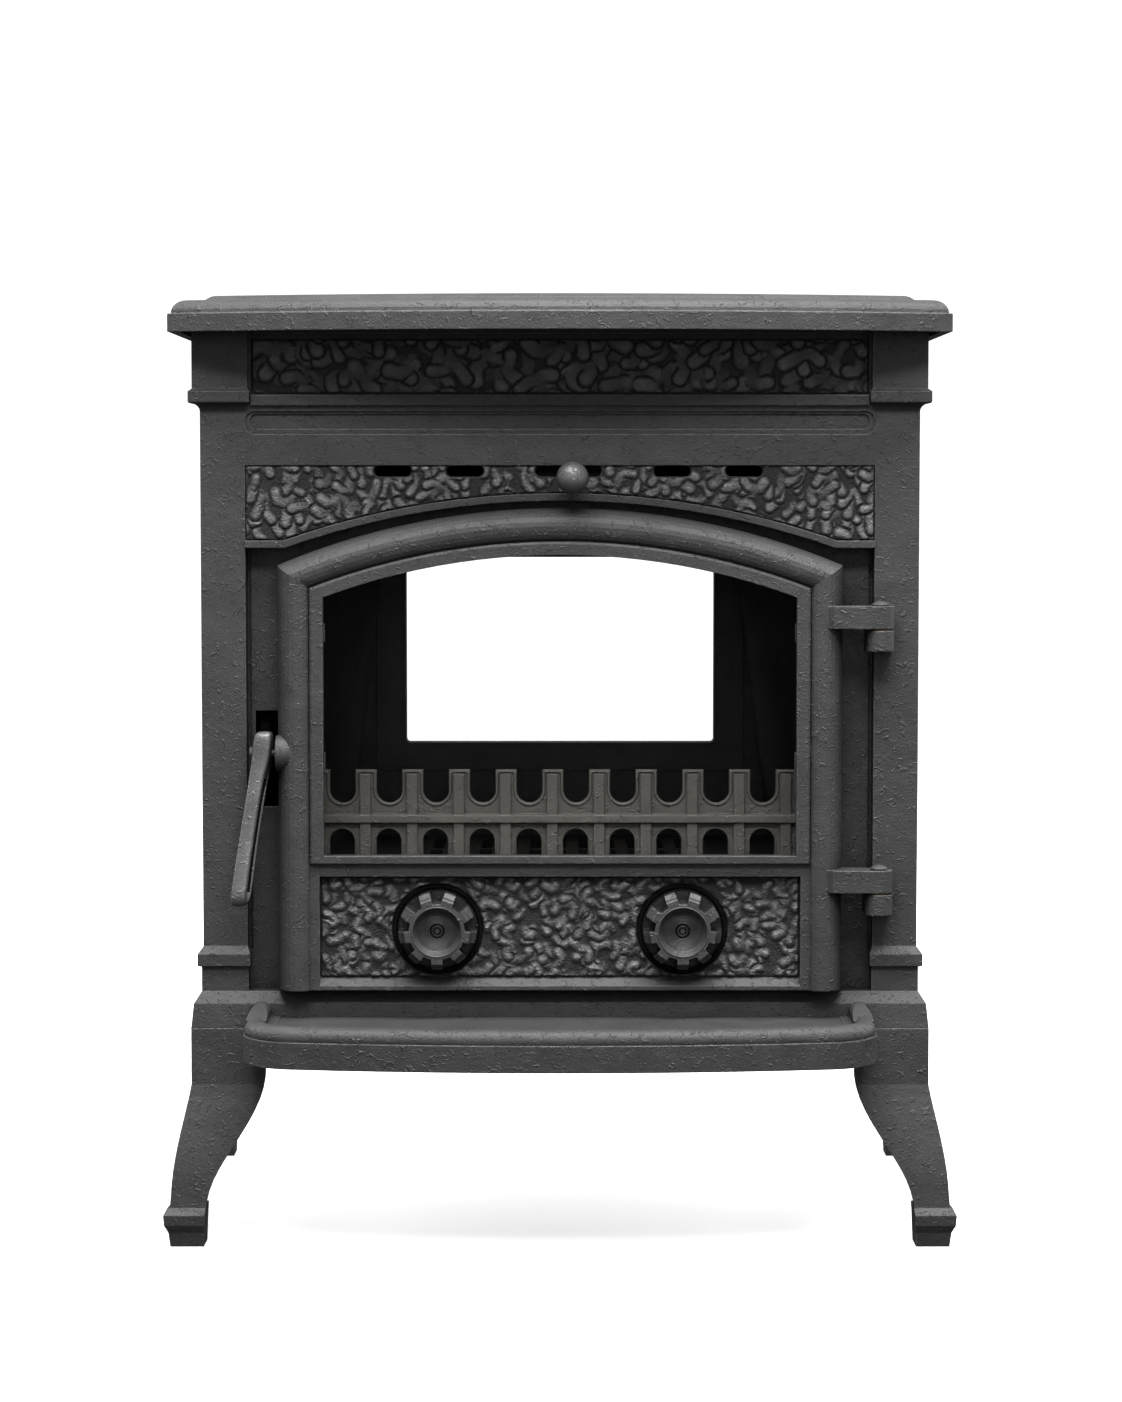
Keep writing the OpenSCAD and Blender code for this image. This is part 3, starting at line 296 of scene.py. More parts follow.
def bare_metal_finish(name, color, roughness):
    """Machined or rolled metal with fine streaks and dull patches."""
    f = Finish(name)
    rim = f.rounded(0.35 * MM)
    lines = f.noise(0.5 * MM, 3.0, 0.6, 0.0, f.moved((1.0, 1.0, 0.08)))
    patch = f.noise(9 * MM, 4.0, 0.6, 0.8)
    f.bump(lines, 0.16, 0.08 * MM)
    tone = f.ramp(patch, [(0.3, shade(color, 0.8)), (0.72, shade(color, 1.12))])
    tone = f.mix(f.times(rim, 0.5), tone, shade(color, 1.4))
    rough = f.spread(patch, 0.3, 0.7, roughness - 0.07, roughness + 0.08)
    f.set(Metallic=0.85, IOR=1.9)
    return f.done(tone, rough)


def glazing_finish(name, tint, film):
    """Clear ceramic glass with a faint dark film that gathers in patches."""
    f = Finish(name)
    cloud = f.noise(55 * MM, 5.0, 0.62, 0.8)
    fine = f.noise(1.2 * MM, 2.0)
    f.bump(fine, 0.02, 0.01 * MM)
    tone = f.ramp(cloud, [(0.3, tint), (0.8, shade(tint, 1.8))])
    f.link(f.spread(cloud, 0.35, 0.8, film, film * 1.7), f.shader.inputs["Alpha"])
    rough = f.spread(cloud, 0.3, 0.8, 0.05, 0.16)
    f.set(Metallic=0.0, IOR=1.45, Specular_IOR_Level=0.12)
    made = f.done(tone, rough)
    made.surface_render_method = "BLENDED"
    return made


def fibre_finish(name, color, pitch):
    """Woven or knitted glass fibre."""
    f = Finish(name)
    weave = f.node("ShaderNodeTexWave", wave_type="BANDS", bands_direction="DIAGONAL")
    f.link(f.place, weave.inputs["Vector"])
    weave.inputs["Scale"].default_value = 0.16 / pitch
    weave.inputs["Distortion"].default_value = 1.5
    weave.inputs["Detail"].default_value = 2.0
    fuzz = f.noise(0.6 * MM, 3.0, 0.7)
    f.bump(weave.outputs["Fac"], 0.6, 0.5 * MM)
    f.bump(fuzz, 0.5, 0.3 * MM)
    tone = f.ramp(weave.outputs["Fac"], [(0.2, shade(color, 0.55)), (0.8, shade(color, 1.2))])
    tone = f.mix(f.spread(f.noise(14 * MM, 4.0), 0.45, 0.7), tone, shade(color, 0.4))
    rough = f.spread(fuzz, 0.3, 0.7, 0.85, 0.98)
    f.set(Metallic=0.0, IOR=1.45)
    return f.done(tone, rough)


def paint(names, finish):
    """Gives carried-over solids a finish without touching their meshes."""
    for name in names:
        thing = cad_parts[name]
        thing.data.materials.clear()
        thing.data.materials.append(finish)


def material(name):
    """A finish that an earlier step made."""
    return bpy.data.materials[name]


def settings():
    """The colours and roughness set in the panel."""
    return bpy.context.scene.stove_finish


# ------------------------------------------------------------------- meshes


def new_piece(name, verts, faces, finish, body, slot, smooth=True):
    """A mesh with its finish, riding on a body of the part."""
    mesh = bpy.data.meshes.new(name)
    mesh.from_pydata([tuple(v) for v in verts], [], [tuple(f) for f in faces])
    mesh.validate()
    shell = bmesh.new()
    shell.from_mesh(mesh)
    bmesh.ops.recalc_face_normals(shell, faces=shell.faces)
    shell.to_mesh(mesh)
    shell.free()
    if smooth:
        mesh.shade_smooth()
    piece = bpy.data.objects.new(name, mesh)
    bpy.context.scene.collection.objects.link(piece)
    mesh.materials.append(finish)
    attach(piece, body)
    return piece


def lobe_spine(at, angle, length, bend):
    """Four points down the middle of one tongue of the cast pattern, in mm."""
    along = np.array([math.cos(angle), math.sin(angle)])
    across = np.array([-along[1], along[0]])
    return [np.array(at) + along * length * t + across * bend * math.sin(math.pi * t)
            for t in (0.0, 0.33, 0.67, 1.0)]


def press_lobe(field, xs, zs, spine, radii, crests, sharp, groove, power, dish):
    """Lays one tongue over a height field, in mm.

    A groove runs round its head, which the relief finish paints dark as shade, and its tail sinks
    into what lies below.
    """
    reach = max(radii) + groove
    pts = np.array(spine)
    lo, hi = pts.min(0) - reach, pts.max(0) + reach
    i0, i1 = np.searchsorted(xs, [lo[0], hi[0]])
    j0, j1 = np.searchsorted(zs, [lo[1], hi[1]])
    if i1 <= i0 or j1 <= j0:
        return
    gx, gz = np.meshgrid(xs[i0:i1], zs[j0:j1], indexing="ij")
    best = np.full(gx.shape, 9.0)
    outside = np.full(gx.shape, 9.0)
    crest = np.zeros(gx.shape)
    share = np.zeros(gx.shape)
    count = len(spine) - 1
    for k in range(count):
        a, b = spine[k], spine[k + 1]
        ab = b - a
        t = np.clip(((gx - a[0]) * ab[0] + (gz - a[1]) * ab[1]) / ab.dot(ab), 0, 1)
        d = np.hypot(gx - a[0] - t * ab[0], gz - a[1] - t * ab[1])
        whole = (k + t) / count
        r = radii[0] + (radii[1] - radii[0]) * whole
        near = d / r < best
        best = np.where(near, d / r, best)
        outside = np.where(near, d - r, outside)
        crest = np.where(near, crests[0] + (crests[1] - crests[0]) * whole, crest)
        share = np.where(near, whole, share)
    part = field[i0:i1, j0:j1]
    ditch = (best >= 1) & (outside < groove * np.clip(1.6 - 2 * share, 0, 1))
    part[ditch] = np.minimum(part[ditch], 0.06)
    dome = 0.1 + (crest - 0.1) * np.clip(1 - np.clip(best, 0, 1) ** sharp, 0, 1) ** power
    dome *= 1 - dish * (1 - np.clip(best, 0, 1) ** 2)
    own = np.clip((0.95 - share) / 0.5, 0, 1)
    laid = np.maximum(dome, part) * (1 - own) + dome * own
    part[:] = np.where(best < 1, laid, part)


def soften(field):
    """Evens out each point with its neighbours, half and half."""
    wide = np.pad(field, 1, mode="edge")
    return (wide[:-2, 1:-1] + wide[2:, 1:-1] + wide[1:-1, :-2] + wide[1:-1, 2:]
            + 4 * wide[1:-1, 1:-1]) / 8


def cast_pattern(xs, zs, seed, pitch, *, lean, spread, size, reach, bend, sharp, ground, hang,
                 forks, groove, power, dish):
    """Tongues of iron strewn over a plate, in mm, as heights from 0 to 1.

    lean and spread are the tongues' mean angle and its scatter, size and reach their
    radius and length as shares of the pitch, bend how much they curve, ground the height
    between them, hang how far upper ones lie over lower, and forks the share of them that
    branch. groove is the width of the groove round a head, which the relief finish paints
    dark as shade, sharp and power how steep its flanks are and dish how far its middle sinks.
    Neighbours lean alike, with sudden turns here and there.
    """
    rng = np.random.default_rng(seed)
    field = np.full((len(xs), len(zs)), ground)
    lobes = []
    waves = [(rng.uniform(0.05, 0.16), rng.uniform(0.05, 0.2), rng.uniform(0, 6))
             for _ in range(3)]
    for i, x in enumerate(np.arange(xs[0] - pitch, xs[-1] + pitch, pitch)):
        for z in np.arange(zs[0] - pitch, zs[-1] + pitch, pitch):
            at = (x + rng.uniform(-0.4, 0.4) * pitch,
                  z + (0.5 * pitch if i % 2 else 0.0) + rng.uniform(-0.4, 0.4) * pitch)
            drift = sum(math.sin(u * at[0] + v * at[1] + w) for u, v, w in waves) / 1.5
            angle = lean + spread * (0.75 * drift + 0.5 * rng.normal())
            if rng.random() < 0.12:
                angle += rng.uniform(1.0, 2.2)
            length = pitch * rng.uniform(*reach)
            head = pitch * rng.uniform(*size)
            order = rng.random() + hang * (at[1] - zs[0]) / (zs[-1] - zs[0])
            shape = ((head, head * rng.uniform(0.6, 1.0)),
                     (rng.uniform(0.85, 1.0), rng.uniform(0.45, 0.85)), rng.uniform(*sharp))
            spine = lobe_spine(at, angle, length, length * rng.uniform(-bend, bend))
            lobes.append((order, spine, *shape))
            if rng.random() < forks:
                turn = angle + rng.choice((-1, 1)) * rng.uniform(0.8, 2.0)
                spine = lobe_spine(at, turn, length * rng.uniform(0.6, 1.0),
                                   length * rng.uniform(-bend, bend))
                lobes.append((order + 1e-6, spine, *shape))
    for _, spine, radii, crests, edge in sorted(lobes, key=lambda lobe: lobe[0]):
        press_lobe(field, xs, zs, spine, radii, crests, edge, groove, power, dish)
    return soften(field)


EDGE_FADE = 1.2  # mm over which the pattern rises from its outline


def relief_plate(name, xs, zs, field, inside, *, back, ground, rise, body, crest_highlight):
    """A closed plate: cast pattern in front, flat back, and walls along its outline.

    Lengths are in mm. inside(x, z) is the distance in from the outline, back and ground
    are depths behind the columns' face, and the last keyword scales the cast_height that the
    finish reads: how dark the ground is painted as shade, and how far the crests are
    lightened as wear and as a painted highlight.
    """
    step = xs[1] - xs[0]
    gx, gz = np.meshgrid(xs, zs, indexing="ij")
    room = inside(gx, gz)
    eps = 0.01
    slope_x = (inside(gx + eps, gz) - inside(gx - eps, gz)) / (2 * eps)
    slope_z = (inside(gx, gz + eps) - inside(gx, gz - eps)) / (2 * eps)
    snap = (np.abs(room) < 0.55 * step) & (np.abs(room) > 1e-6)
    gx = gx - np.where(snap, room * slope_x, 0)
    gz = gz - np.where(snap, room * slope_z, 0)
    keep = room > -0.55 * step
    full = keep[:-1, :-1] & keep[1:, :-1] & keep[1:, 1:] & keep[:-1, 1:]
    used = np.zeros(keep.shape, bool)
    for di in (0, 1):
        for dj in (0, 1):
            used[di:used.shape[0] - 1 + di, dj:used.shape[1] - 1 + dj] |= full
    number = np.full(keep.shape, -1)
    number[used] = np.arange(used.sum())
    faded = field * (0.35 + 0.65 * np.clip(inside(gx, gz) / EDGE_FADE, 0, 1))
    high = ground - rise * faded
    front = np.column_stack([gx[used], high[used], gz[used]])
    rear = np.column_stack([gx[used], np.full(used.sum(), back), gz[used]])
    a, b = number[:-1, :-1][full], number[1:, :-1][full]
    c, d = number[1:, 1:][full], number[:-1, 1:][full]
    quads = np.column_stack([a, b, c, d])
    count = len(front)
    edges = np.concatenate([quads[:, [i, (i + 1) % 4]] for i in range(4)])
    key = np.sort(edges, 1)
    order = np.lexsort((key[:, 1], key[:, 0]))
    same = (key[order][1:] == key[order][:-1]).all(1)
    single = np.ones(len(order), bool)
    single[1:] &= ~same
    single[:-1] &= ~same
    rim = edges[order[single]]
    walls = np.column_stack([rim[:, 1], rim[:, 0], rim[:, 0] + count, rim[:, 1] + count])
    faces = np.concatenate([quads, quads[:, ::-1] + count, walls])
    verts = np.concatenate([front, rear])
    verts[:, 1] = COLUMN_Y / MM + verts[:, 1]
    piece = new_piece(name, verts * MM, faces, material("cast_relief"), body, "outer_iron")
    # cast_height drives the relief finish's painted shade on the ground and its painted highlight
    # on the crests
    height = piece.data.attributes.new("cast_height", "FLOAT", "POINT")
    shown = np.concatenate([faded[used] * crest_highlight, np.full(count, 0.3)])
    height.data.foreach_set("value", shown.astype(np.float32))


def loft(rings, closed=False):
    """Skin over rings of points; open lofts get a cap at both ends."""
    verts = [point for ring in rings for point in ring]
    n, count = len(rings[0]), len(rings)
    faces = []
    for i in range(count if closed else count - 1):
        j = (i + 1) % count
        for k in range(n):
            m = (k + 1) % n
            faces.append((i * n + k, i * n + m, j * n + m, j * n + k))
    if not closed:
        faces.append(tuple(range(n)))
        faces.append(tuple(reversed(range((count - 1) * n, count * n))))
    return verts, faces


def joined(parts):
    """Several skins as one."""
    verts, faces = [], []
    for part_verts, part_faces in parts:
        faces += [tuple(i + len(verts) for i in face) for face in part_faces]
        verts += part_verts
    return verts, faces


BEAD_SINK = 0.3 * MM  # how far a bead's flat back lies inside the casting
RING_SIDES = 96


def ring_bead(centre, radius, half, proud, face):
    """A half-round ring about an axis along Y, standing proud of a face."""
    profile = [(radius + half * math.cos(a), face - proud * math.sin(a))
               for a in np.linspace(0, math.pi, 7)]
    profile += [(radius - half, face + BEAD_SINK), (radius + half, face + BEAD_SINK)]
    rings = []
    for i in range(RING_SIDES):
        turn = 2 * math.pi * i / RING_SIDES
        rings.append([(centre[0] + r * math.cos(turn), y, centre[1] + r * math.sin(turn))
                      for r, y in profile])
    return loft(rings, closed=True)


def path_bead(path, half, proud, face):
    """A half-round moulding along an open path of (x, z) on a face."""
    points = np.array(path)
    along = np.gradient(points, axis=0)
    along /= np.linalg.norm(along, axis=1)[:, None]
    profile = [(half * math.cos(a), face - proud * math.sin(a))
               for a in np.linspace(0, math.pi, 6)]
    profile += [(-half, face + BEAD_SINK), (half, face + BEAD_SINK)]
    return loft([[(x - tz * off, y, z + tx * off) for off, y in profile]
                 for (x, z), (tx, tz) in zip(points, along)])


def arc(x, z, radius, start, end, count):
    """Points of an arc, with the angles in degrees."""
    return [(x + radius * math.cos(math.radians(a)), z + radius * math.sin(math.radians(a)))
            for a in np.linspace(start, end, count)]


# --------------------------------------------------------------- properties


class StoveFinish(bpy.types.PropertyGroup):
    """Colours of the castings"""
    iron: FloatVectorProperty(
        name="Painted iron", description="Colour of the outer castings", subtype="COLOR",
        size=3, min=0, max=1, default=(0.03, 0.03, 0.0305))
    # Colour of the rubbed edges and relief crests: part wear, part painted highlight
    worn: FloatVectorProperty(
        name="Rubbed edge", description="Colour of the castings' rubbed edges", subtype="COLOR",
        size=3, min=0, max=1, default=(0.17, 0.17, 0.171))
    # Near black: soot, darkened further as painted shade inside the firebox
    soot: FloatVectorProperty(
        name="Sooty iron", description="Colour of the firebox castings", subtype="COLOR",
        size=3, min=0, max=1, default=(0.0035, 0.003, 0.0025))
    fence: FloatVectorProperty(
        name="Fence iron", description="Colour of the log fence", subtype="COLOR",
        size=3, min=0, max=1, default=(0.053, 0.05, 0.043))
    satin: FloatVectorProperty(
        name="Satin iron", description="Colour of the handle and knob", subtype="COLOR",
        size=3, min=0, max=1, default=(0.05, 0.05, 0.051))
    roughness: FloatProperty(
        name="Roughness", description="Roughness of the painted castings",
        min=0.2, max=1.0, default=0.52, subtype="FACTOR")


class StoveRelief(bpy.types.PropertyGroup):
    """Sizes of the cast pattern"""
    frieze_pitch: FloatProperty(
        name="Frieze pitch", description="Spacing of the frieze's tongues",
        min=0.004, max=0.02, default=0.0134, unit="LENGTH")
    band_pitch: FloatProperty(
        name="Band pitch", description="Spacing of the arched band's tongues",
        min=0.004, max=0.02, default=0.0114, unit="LENGTH")
    panel_pitch: FloatProperty(
        name="Panel pitch", description="Spacing of the dial panel's worms",
        min=0.004, max=0.02, default=0.0113, unit="LENGTH")
    rise: FloatProperty(
        name="Rise", description="Height of the cast pattern over its ground",
        min=0.0005, max=0.004, default=0.0027, unit="LENGTH")
    mesh_step: FloatProperty(
        name="Mesh step", description="Distance between the pattern's points",
        min=0.0004, max=0.002, default=0.0007, unit="LENGTH")
    seed: IntProperty(
        name="Seed", description="Arrangement of the cast pattern", min=0, default=5)


class StoveStudio(bpy.types.PropertyGroup):
    """Camera and light"""
    camera_height: FloatProperty(
        name="Camera height", description="Height of the camera over the floor",
        default=0.5782, unit="LENGTH")
    camera_distance: FloatProperty(
        name="Camera distance", description="Distance from the columns to the camera",
        default=2.5, unit="LENGTH")
    camera_dip: FloatProperty(
        name="Camera dip", description="Angle of the view below the horizon",
        default=math.radians(3.686), subtype="ANGLE")
    focal_length: FloatProperty(
        name="Focal length", description="Focal length for a 36 mm high sensor",
        default=84.1, min=20, max=300)
    brightness: FloatProperty(
        name="Surround", description="Strength of the studio's pale surround",
        default=0.62, min=0.0, max=4.0)
    light: FloatProperty(
        name="Softboxes", description="Strength of the soft lights", default=1.0, min=0.0, max=8.0)
    floor_glow: FloatProperty(
        name="Floor glow", description="Light that the pale floor gives off by itself",
        default=0.85, min=0.0, max=2.0)


# ---------------------------------------------------------------- operators

# Solids by finish, and the fixed colours of the fittings
OUTER = ("top_plate", "front_frame", "left_side", "right_side", "rear_wall", "base_plate",
         "ash_lip", "rear_glass_frame", "flue_collar", "door_frame", "hinge_pins",
         "handle_pin")
LEGS = ("leg_front_left", "leg_front_right", "leg_rear_left", "leg_rear_right")
DIALS = ("left_dial", "right_dial", "left_dial_insert", "right_dial_insert")
INNER = ("fire_floor", "grate", "left_liner", "right_liner", "baffle_plate", "ash_pan",
         "air_slide")
STEEL = ("tie_rods", "tie_rod_nuts", "ash_lip_bolts", "rear_glass_screws",
         "flue_collar_bolts", "slide_guides", "slide_guide_screws",
         "glass_clips", "glass_clip_screws", "left_dial_stud",
         "right_dial_stud", "dial_stud_nuts", "slide_rod")
STEEL_COLOR = (0.12, 0.12, 0.122)
BRASS_COLOR = (0.12, 0.085, 0.04)
GLASS_COLOR = (0.012, 0.012, 0.012)
TAPE_COLOR = (0.16, 0.155, 0.14)
ROPE_COLOR = (0.13, 0.125, 0.115)


class StoveCastings(bpy.types.Operator):
    """Paint the outer castings"""
    bl_idname = "stove.castings"
    bl_label = "Outer castings"

    def execute(self, context):
        s = settings()
        iron, worn = tuple(s.iron), tuple(s.worn)
        paint(OUTER, casting_finish("stove_iron", iron, worn, 1.0, s.roughness, gloss=0.3))
        paint(LEGS, casting_finish("leg_iron", iron, worn, 1.0, s.roughness, gloss=0.34,
                                   standing_clear=True))
        paint(DIALS, casting_finish("dial_iron", iron, worn, 0.7, s.roughness - 0.08, 0.7 * MM,
                                    gloss=0.45, turned_rings=True))
        casting_finish("cast_relief", iron, worn, 0.8, s.roughness - 0.04, 0.4 * MM,
                       hollows=True, gloss=0.55)
        paint(("slide_ball",), casting_finish("rubbed_iron", tuple(s.satin),
                                              shade(s.satin, 3.0), 0.7, 0.36, 0.8 * MM,
                                              gloss=0.6))
        return {"FINISHED"}


class StoveFirebox(bpy.types.Operator):
    """Finish the castings inside the firebox"""
    bl_idname = "stove.firebox"
    bl_label = "Firebox"

    def execute(self, context):
        s = settings()
        # Sooty castings, painted darker still as the shade inside the firebox; this dark finish is
        # also the painted shade on the handle's channel and hook and round the dials
        paint(INNER, casting_finish("soot_and_shade_iron", tuple(s.soot), shade(s.soot, 2.5), 1.2, 0.8,
                                    gloss=0.06))
        paint(("log_fence",),
              casting_finish("ashy_iron", tuple(s.fence), shade(s.fence, 2.2), 0.9, 0.6))
        return {"FINISHED"}


class StoveFittings(bpy.types.Operator):
    """Finish the steel and brass fittings"""
    bl_idname = "stove.fittings"
    bl_label = "Fittings"

    def execute(self, context):
        paint(STEEL, bare_metal_finish("dark_steel", STEEL_COLOR, 0.42))
        paint(("hinge_washers",), bare_metal_finish("dull_brass", BRASS_COLOR, 0.5))
        return {"FINISHED"}


class StoveGlazing(bpy.types.Operator):
    """Finish the panes, their tapes and the door's rope"""
    bl_idname = "stove.glazing"
    bl_label = "Panes and seals"

    def execute(self, context):
        paint(("door_glass", "rear_glass"), glazing_finish("ceramic_glass", GLASS_COLOR, 0.018))
        paint(("door_glass_gasket", "rear_glass_gasket"),
              fibre_finish("gasket_tape", TAPE_COLOR, 1.2 * MM))
        fibre_finish("seal_rope", ROPE_COLOR, 2.5 * MM)
        return {"FINISHED"}


def door_arch(inset):
    """Centre height and radius of the door's arched top, set in from its edge."""
    return DOOR_HIGH.z - DOOR_RADIUS, DOOR_RADIUS - inset


def door_outline(inset, step):
    """Even points round the door's outline, set in from its edge, from the bottom left."""
    side = DOOR_HALF - inset
    low = DOOR_LOW.z + inset
    centre, radius = door_arch(inset)
    shoulder = centre + math.sqrt(radius ** 2 - side ** 2)
    turn = math.degrees(math.acos(side / radius))
    line = np.array([(-side, low), (-side, shoulder),
                     *arc(0, centre, radius, 180 - turn, turn, 60)[1:-1],
                     (side, shoulder), (side, low), (-side, low)])
    run = np.concatenate([[0], np.cumsum(np.linalg.norm(np.diff(line, axis=0), axis=1))])
    at = np.linspace(0, run[-1], int(run[-1] / step), endpoint=False)
    return np.column_stack([np.interp(at, run, line[:, 0]), np.interp(at, run, line[:, 1])]), at


# Braid of the rope: spacing of its rings, strands, and length of a strand's turn
ROPE_STEP = 1.7 * MM
STRANDS = 4
STRAND_TURN = 19 * MM


class StoveRope(bpy.types.Operator):
    """Knit the rope that seals the door"""
    bl_idname = "stove.rope"
    bl_label = "Door rope"

    def execute(self, context):
        low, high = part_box("door_rope_seal")
        inset = DOOR_HALF - high.x + ROPE_W / 2
        path, run = door_outline(inset, ROPE_STEP)
        smooth = path.copy()
        for _ in range(5):
            smooth = (np.roll(smooth, 1, 0) + 2 * smooth + np.roll(smooth, -1, 0)) / 4
        along = np.roll(smooth, -1, 0) - np.roll(smooth, 1, 0)
        along /= np.linalg.norm(along, axis=1)[:, None]
        middle, deep = (low.y + high.y) / 2, (high.y - low.y) / 2
        rings = []
        for (x, z), (tx, tz), at in zip(smooth, along, run):
            turn = 2 * math.pi / STRAND_TURN * at
            ring = []
            for a in np.linspace(0, 2 * math.pi, 28, endpoint=False):
                lean = STRANDS / 2 * a
                knit = abs(math.sin(lean + turn) * math.sin(lean - turn))
                square = (abs(math.cos(a)) ** 3 + abs(math.sin(a)) ** 3) ** (-1 / 3)
                full = (0.88 + 0.12 * math.sqrt(knit)) * square
                off = ROPE_W / 2 * full * math.cos(a)
                ring.append((x - tz * off, middle + deep * full * math.sin(a), z + tx * off))
            rings.append(ring)
        rope = new_piece("door_rope", *loft(rings, closed=True), material("seal_rope"),
                         "door", "rope")
        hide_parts("door_rope_seal")
        return {"FINISHED"}


# Fields of the cast pattern, in mm: half widths, and levels below the top of the body for
# the frieze and the band, or over its foot for the dial panel
FRIEZE_HALF, FRIEZE_HEAD = 234.6, 10.5
RAIL_FOOT, RAIL_HEIGHT = 59, 7.4
BAND_HALF, BAND_LEDGE, BAND_GAP = 239.6, 106, 0.4
PANEL_HALF, PANEL_FOOT, PANEL_HEAD = 182.6, 12.5, 89.3
DIAL_CLEAR_R = 34.9

# The plain strip that arches over the door, and how far the band's pattern stays off it
STRIP_HALF, STRIP_RISE, STRIP_GAP = 210, 36, 5.6
STRIP_CLEAR = 5.9

# Air slots in the band: middle and length of each, how far they all stand to the right,
# half of their width, and the room that the pattern leaves round them
SLOTS = ((-134, 28.5), (-79, 28.5), (0, 50.4), (79, 28.5), (134, 28.5))
SLOT_SHIFT, SLOT_HALF, SLOT_ROOM = 6.5, 4.35, 0.25

FRIEZE_STYLE = dict(lean=math.radians(80), spread=1.2, size=(0.32, 0.5), reach=(0.8, 1.6),
                    bend=0.4, sharp=(3.0, 5.0), ground=0.3, hang=0.9, forks=0.5, groove=0.9,
                    power=0.5, dish=0.12)
BAND_STYLE = dict(lean=math.radians(85), spread=0.8, size=(0.3, 0.42), reach=(0.8, 1.6),
                  bend=0.35, sharp=(1.9, 3.0), ground=0.22, hang=2.0, forks=0.4, groove=0.95,
                  power=0.55, dish=0.0)
PANEL_STYLE = dict(lean=math.radians(50), spread=1.8, size=(0.32, 0.44), reach=(0.5, 1.2),
                   bend=0.5, sharp=(1.4, 1.9), ground=0.1, hang=0.3, forks=0.75, groove=0.5,
                   power=0.75, dish=0.0)


class StovePattern(bpy.types.Operator):
    """Cast the pattern of the frieze, the arched band and the dial panel"""
    bl_idname = "stove.relief"
    bl_label = "Cast relief"

    def execute(self, context):
        r = context.scene.stove_relief
        step, rise = r.mesh_step / MM, r.rise / MM
        foot, head = BODY_LOW / MM, BODY_HIGH / MM

        def grid(a, b):
            """Even points from a to b."""
            return np.linspace(a, b, int(round((b - a) / step)) + 1)

        def oblong(x, z, half, low, high):
            """Distance in from the nearest edge of an oblong."""
            return np.minimum(np.minimum(half - np.abs(x), z - low), high - z)

        low, high = head - RAIL_FOOT + RAIL_HEIGHT, head - FRIEZE_HEAD
        xs, zs = grid(-FRIEZE_HALF, FRIEZE_HALF), grid(low, high)
        field = cast_pattern(xs, zs, r.seed, r.frieze_pitch / MM, **FRIEZE_STYLE)
        relief_plate("frieze_relief", xs, zs, field,
                     lambda x, z: oblong(x, z, FRIEZE_HALF, low, high),
                     back=3.0, ground=2.6, rise=rise, body="stove", crest_highlight=0.85)

        band_top = head - BAND_LEDGE - BAND_GAP
        strip_r = (STRIP_HALF ** 2 + STRIP_RISE ** 2) / (2 * STRIP_RISE)
        strip_top = DOOR_HIGH.z / MM + STRIP_GAP
        band_foot = strip_top - STRIP_RISE + STRIP_CLEAR
        slot_z = head - BAND_LEDGE - SLOT_HALF
        xs, zs = grid(-BAND_HALF, BAND_HALF), grid(band_foot, band_top)
        field = cast_pattern(xs, zs, r.seed + 1, r.band_pitch / MM, **BAND_STYLE)

        def band(x, z):
            arch = np.hypot(x, z - (strip_top - strip_r)) - strip_r - STRIP_CLEAR
            room = oblong(x, z, BAND_HALF, band_foot, band_top)
            room = np.where(np.abs(x) < STRIP_HALF, np.minimum(room, arch), room)
            for at, length in SLOTS:
                past = np.maximum(np.abs(x - SLOT_SHIFT - at) - (length / 2 - SLOT_HALF), 0)
                slot = np.hypot(past, z - slot_z) - SLOT_HALF - SLOT_ROOM
                room = np.minimum(room, slot)
            return room

        relief_plate("arch_relief", xs, zs, field, band,
                     back=2.5, ground=2.1, rise=rise, body="stove", crest_highlight=0.9)

        panel_low, panel_high = foot + PANEL_FOOT, foot + PANEL_HEAD
        xs, zs = grid(-PANEL_HALF, PANEL_HALF), grid(panel_low, panel_high)
        field = cast_pattern(xs, zs, r.seed + 2, r.panel_pitch / MM, **PANEL_STYLE)

        def panel(x, z):
            dials = np.hypot(np.abs(x) - DIAL_X / MM, z - DIAL_Z / MM) - DIAL_CLEAR_R
            return np.minimum(oblong(x, z, PANEL_HALF, panel_low, panel_high), dials)

        relief_plate("dial_panel_relief", xs, zs, field, panel,
                     back=-9.0, ground=-9.6, rise=rise, body="door", crest_highlight=0.9)
        return {"FINISHED"}


# The log fence's teeth and the small arches under them, as they are set out in the casting
FENCE_LOW, FENCE_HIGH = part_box("log_fence")
FENCE_FACE = depth(50)
FENCE_X = -6.1 * MM
TOOTH_PITCH = 36.5 * MM
VALLEY_HALF = 10.05 * MM
VALLEY_Z = FENCE_HIGH.z - 26 * MM
VALLEY_SHIFT = 0.5 * MM
ARCH_HALF = 9.8 * MM
ARCH_FOOT = FENCE_LOW.z + 5.5 * MM
ARCH_Z = FENCE_LOW.z + 22 * MM


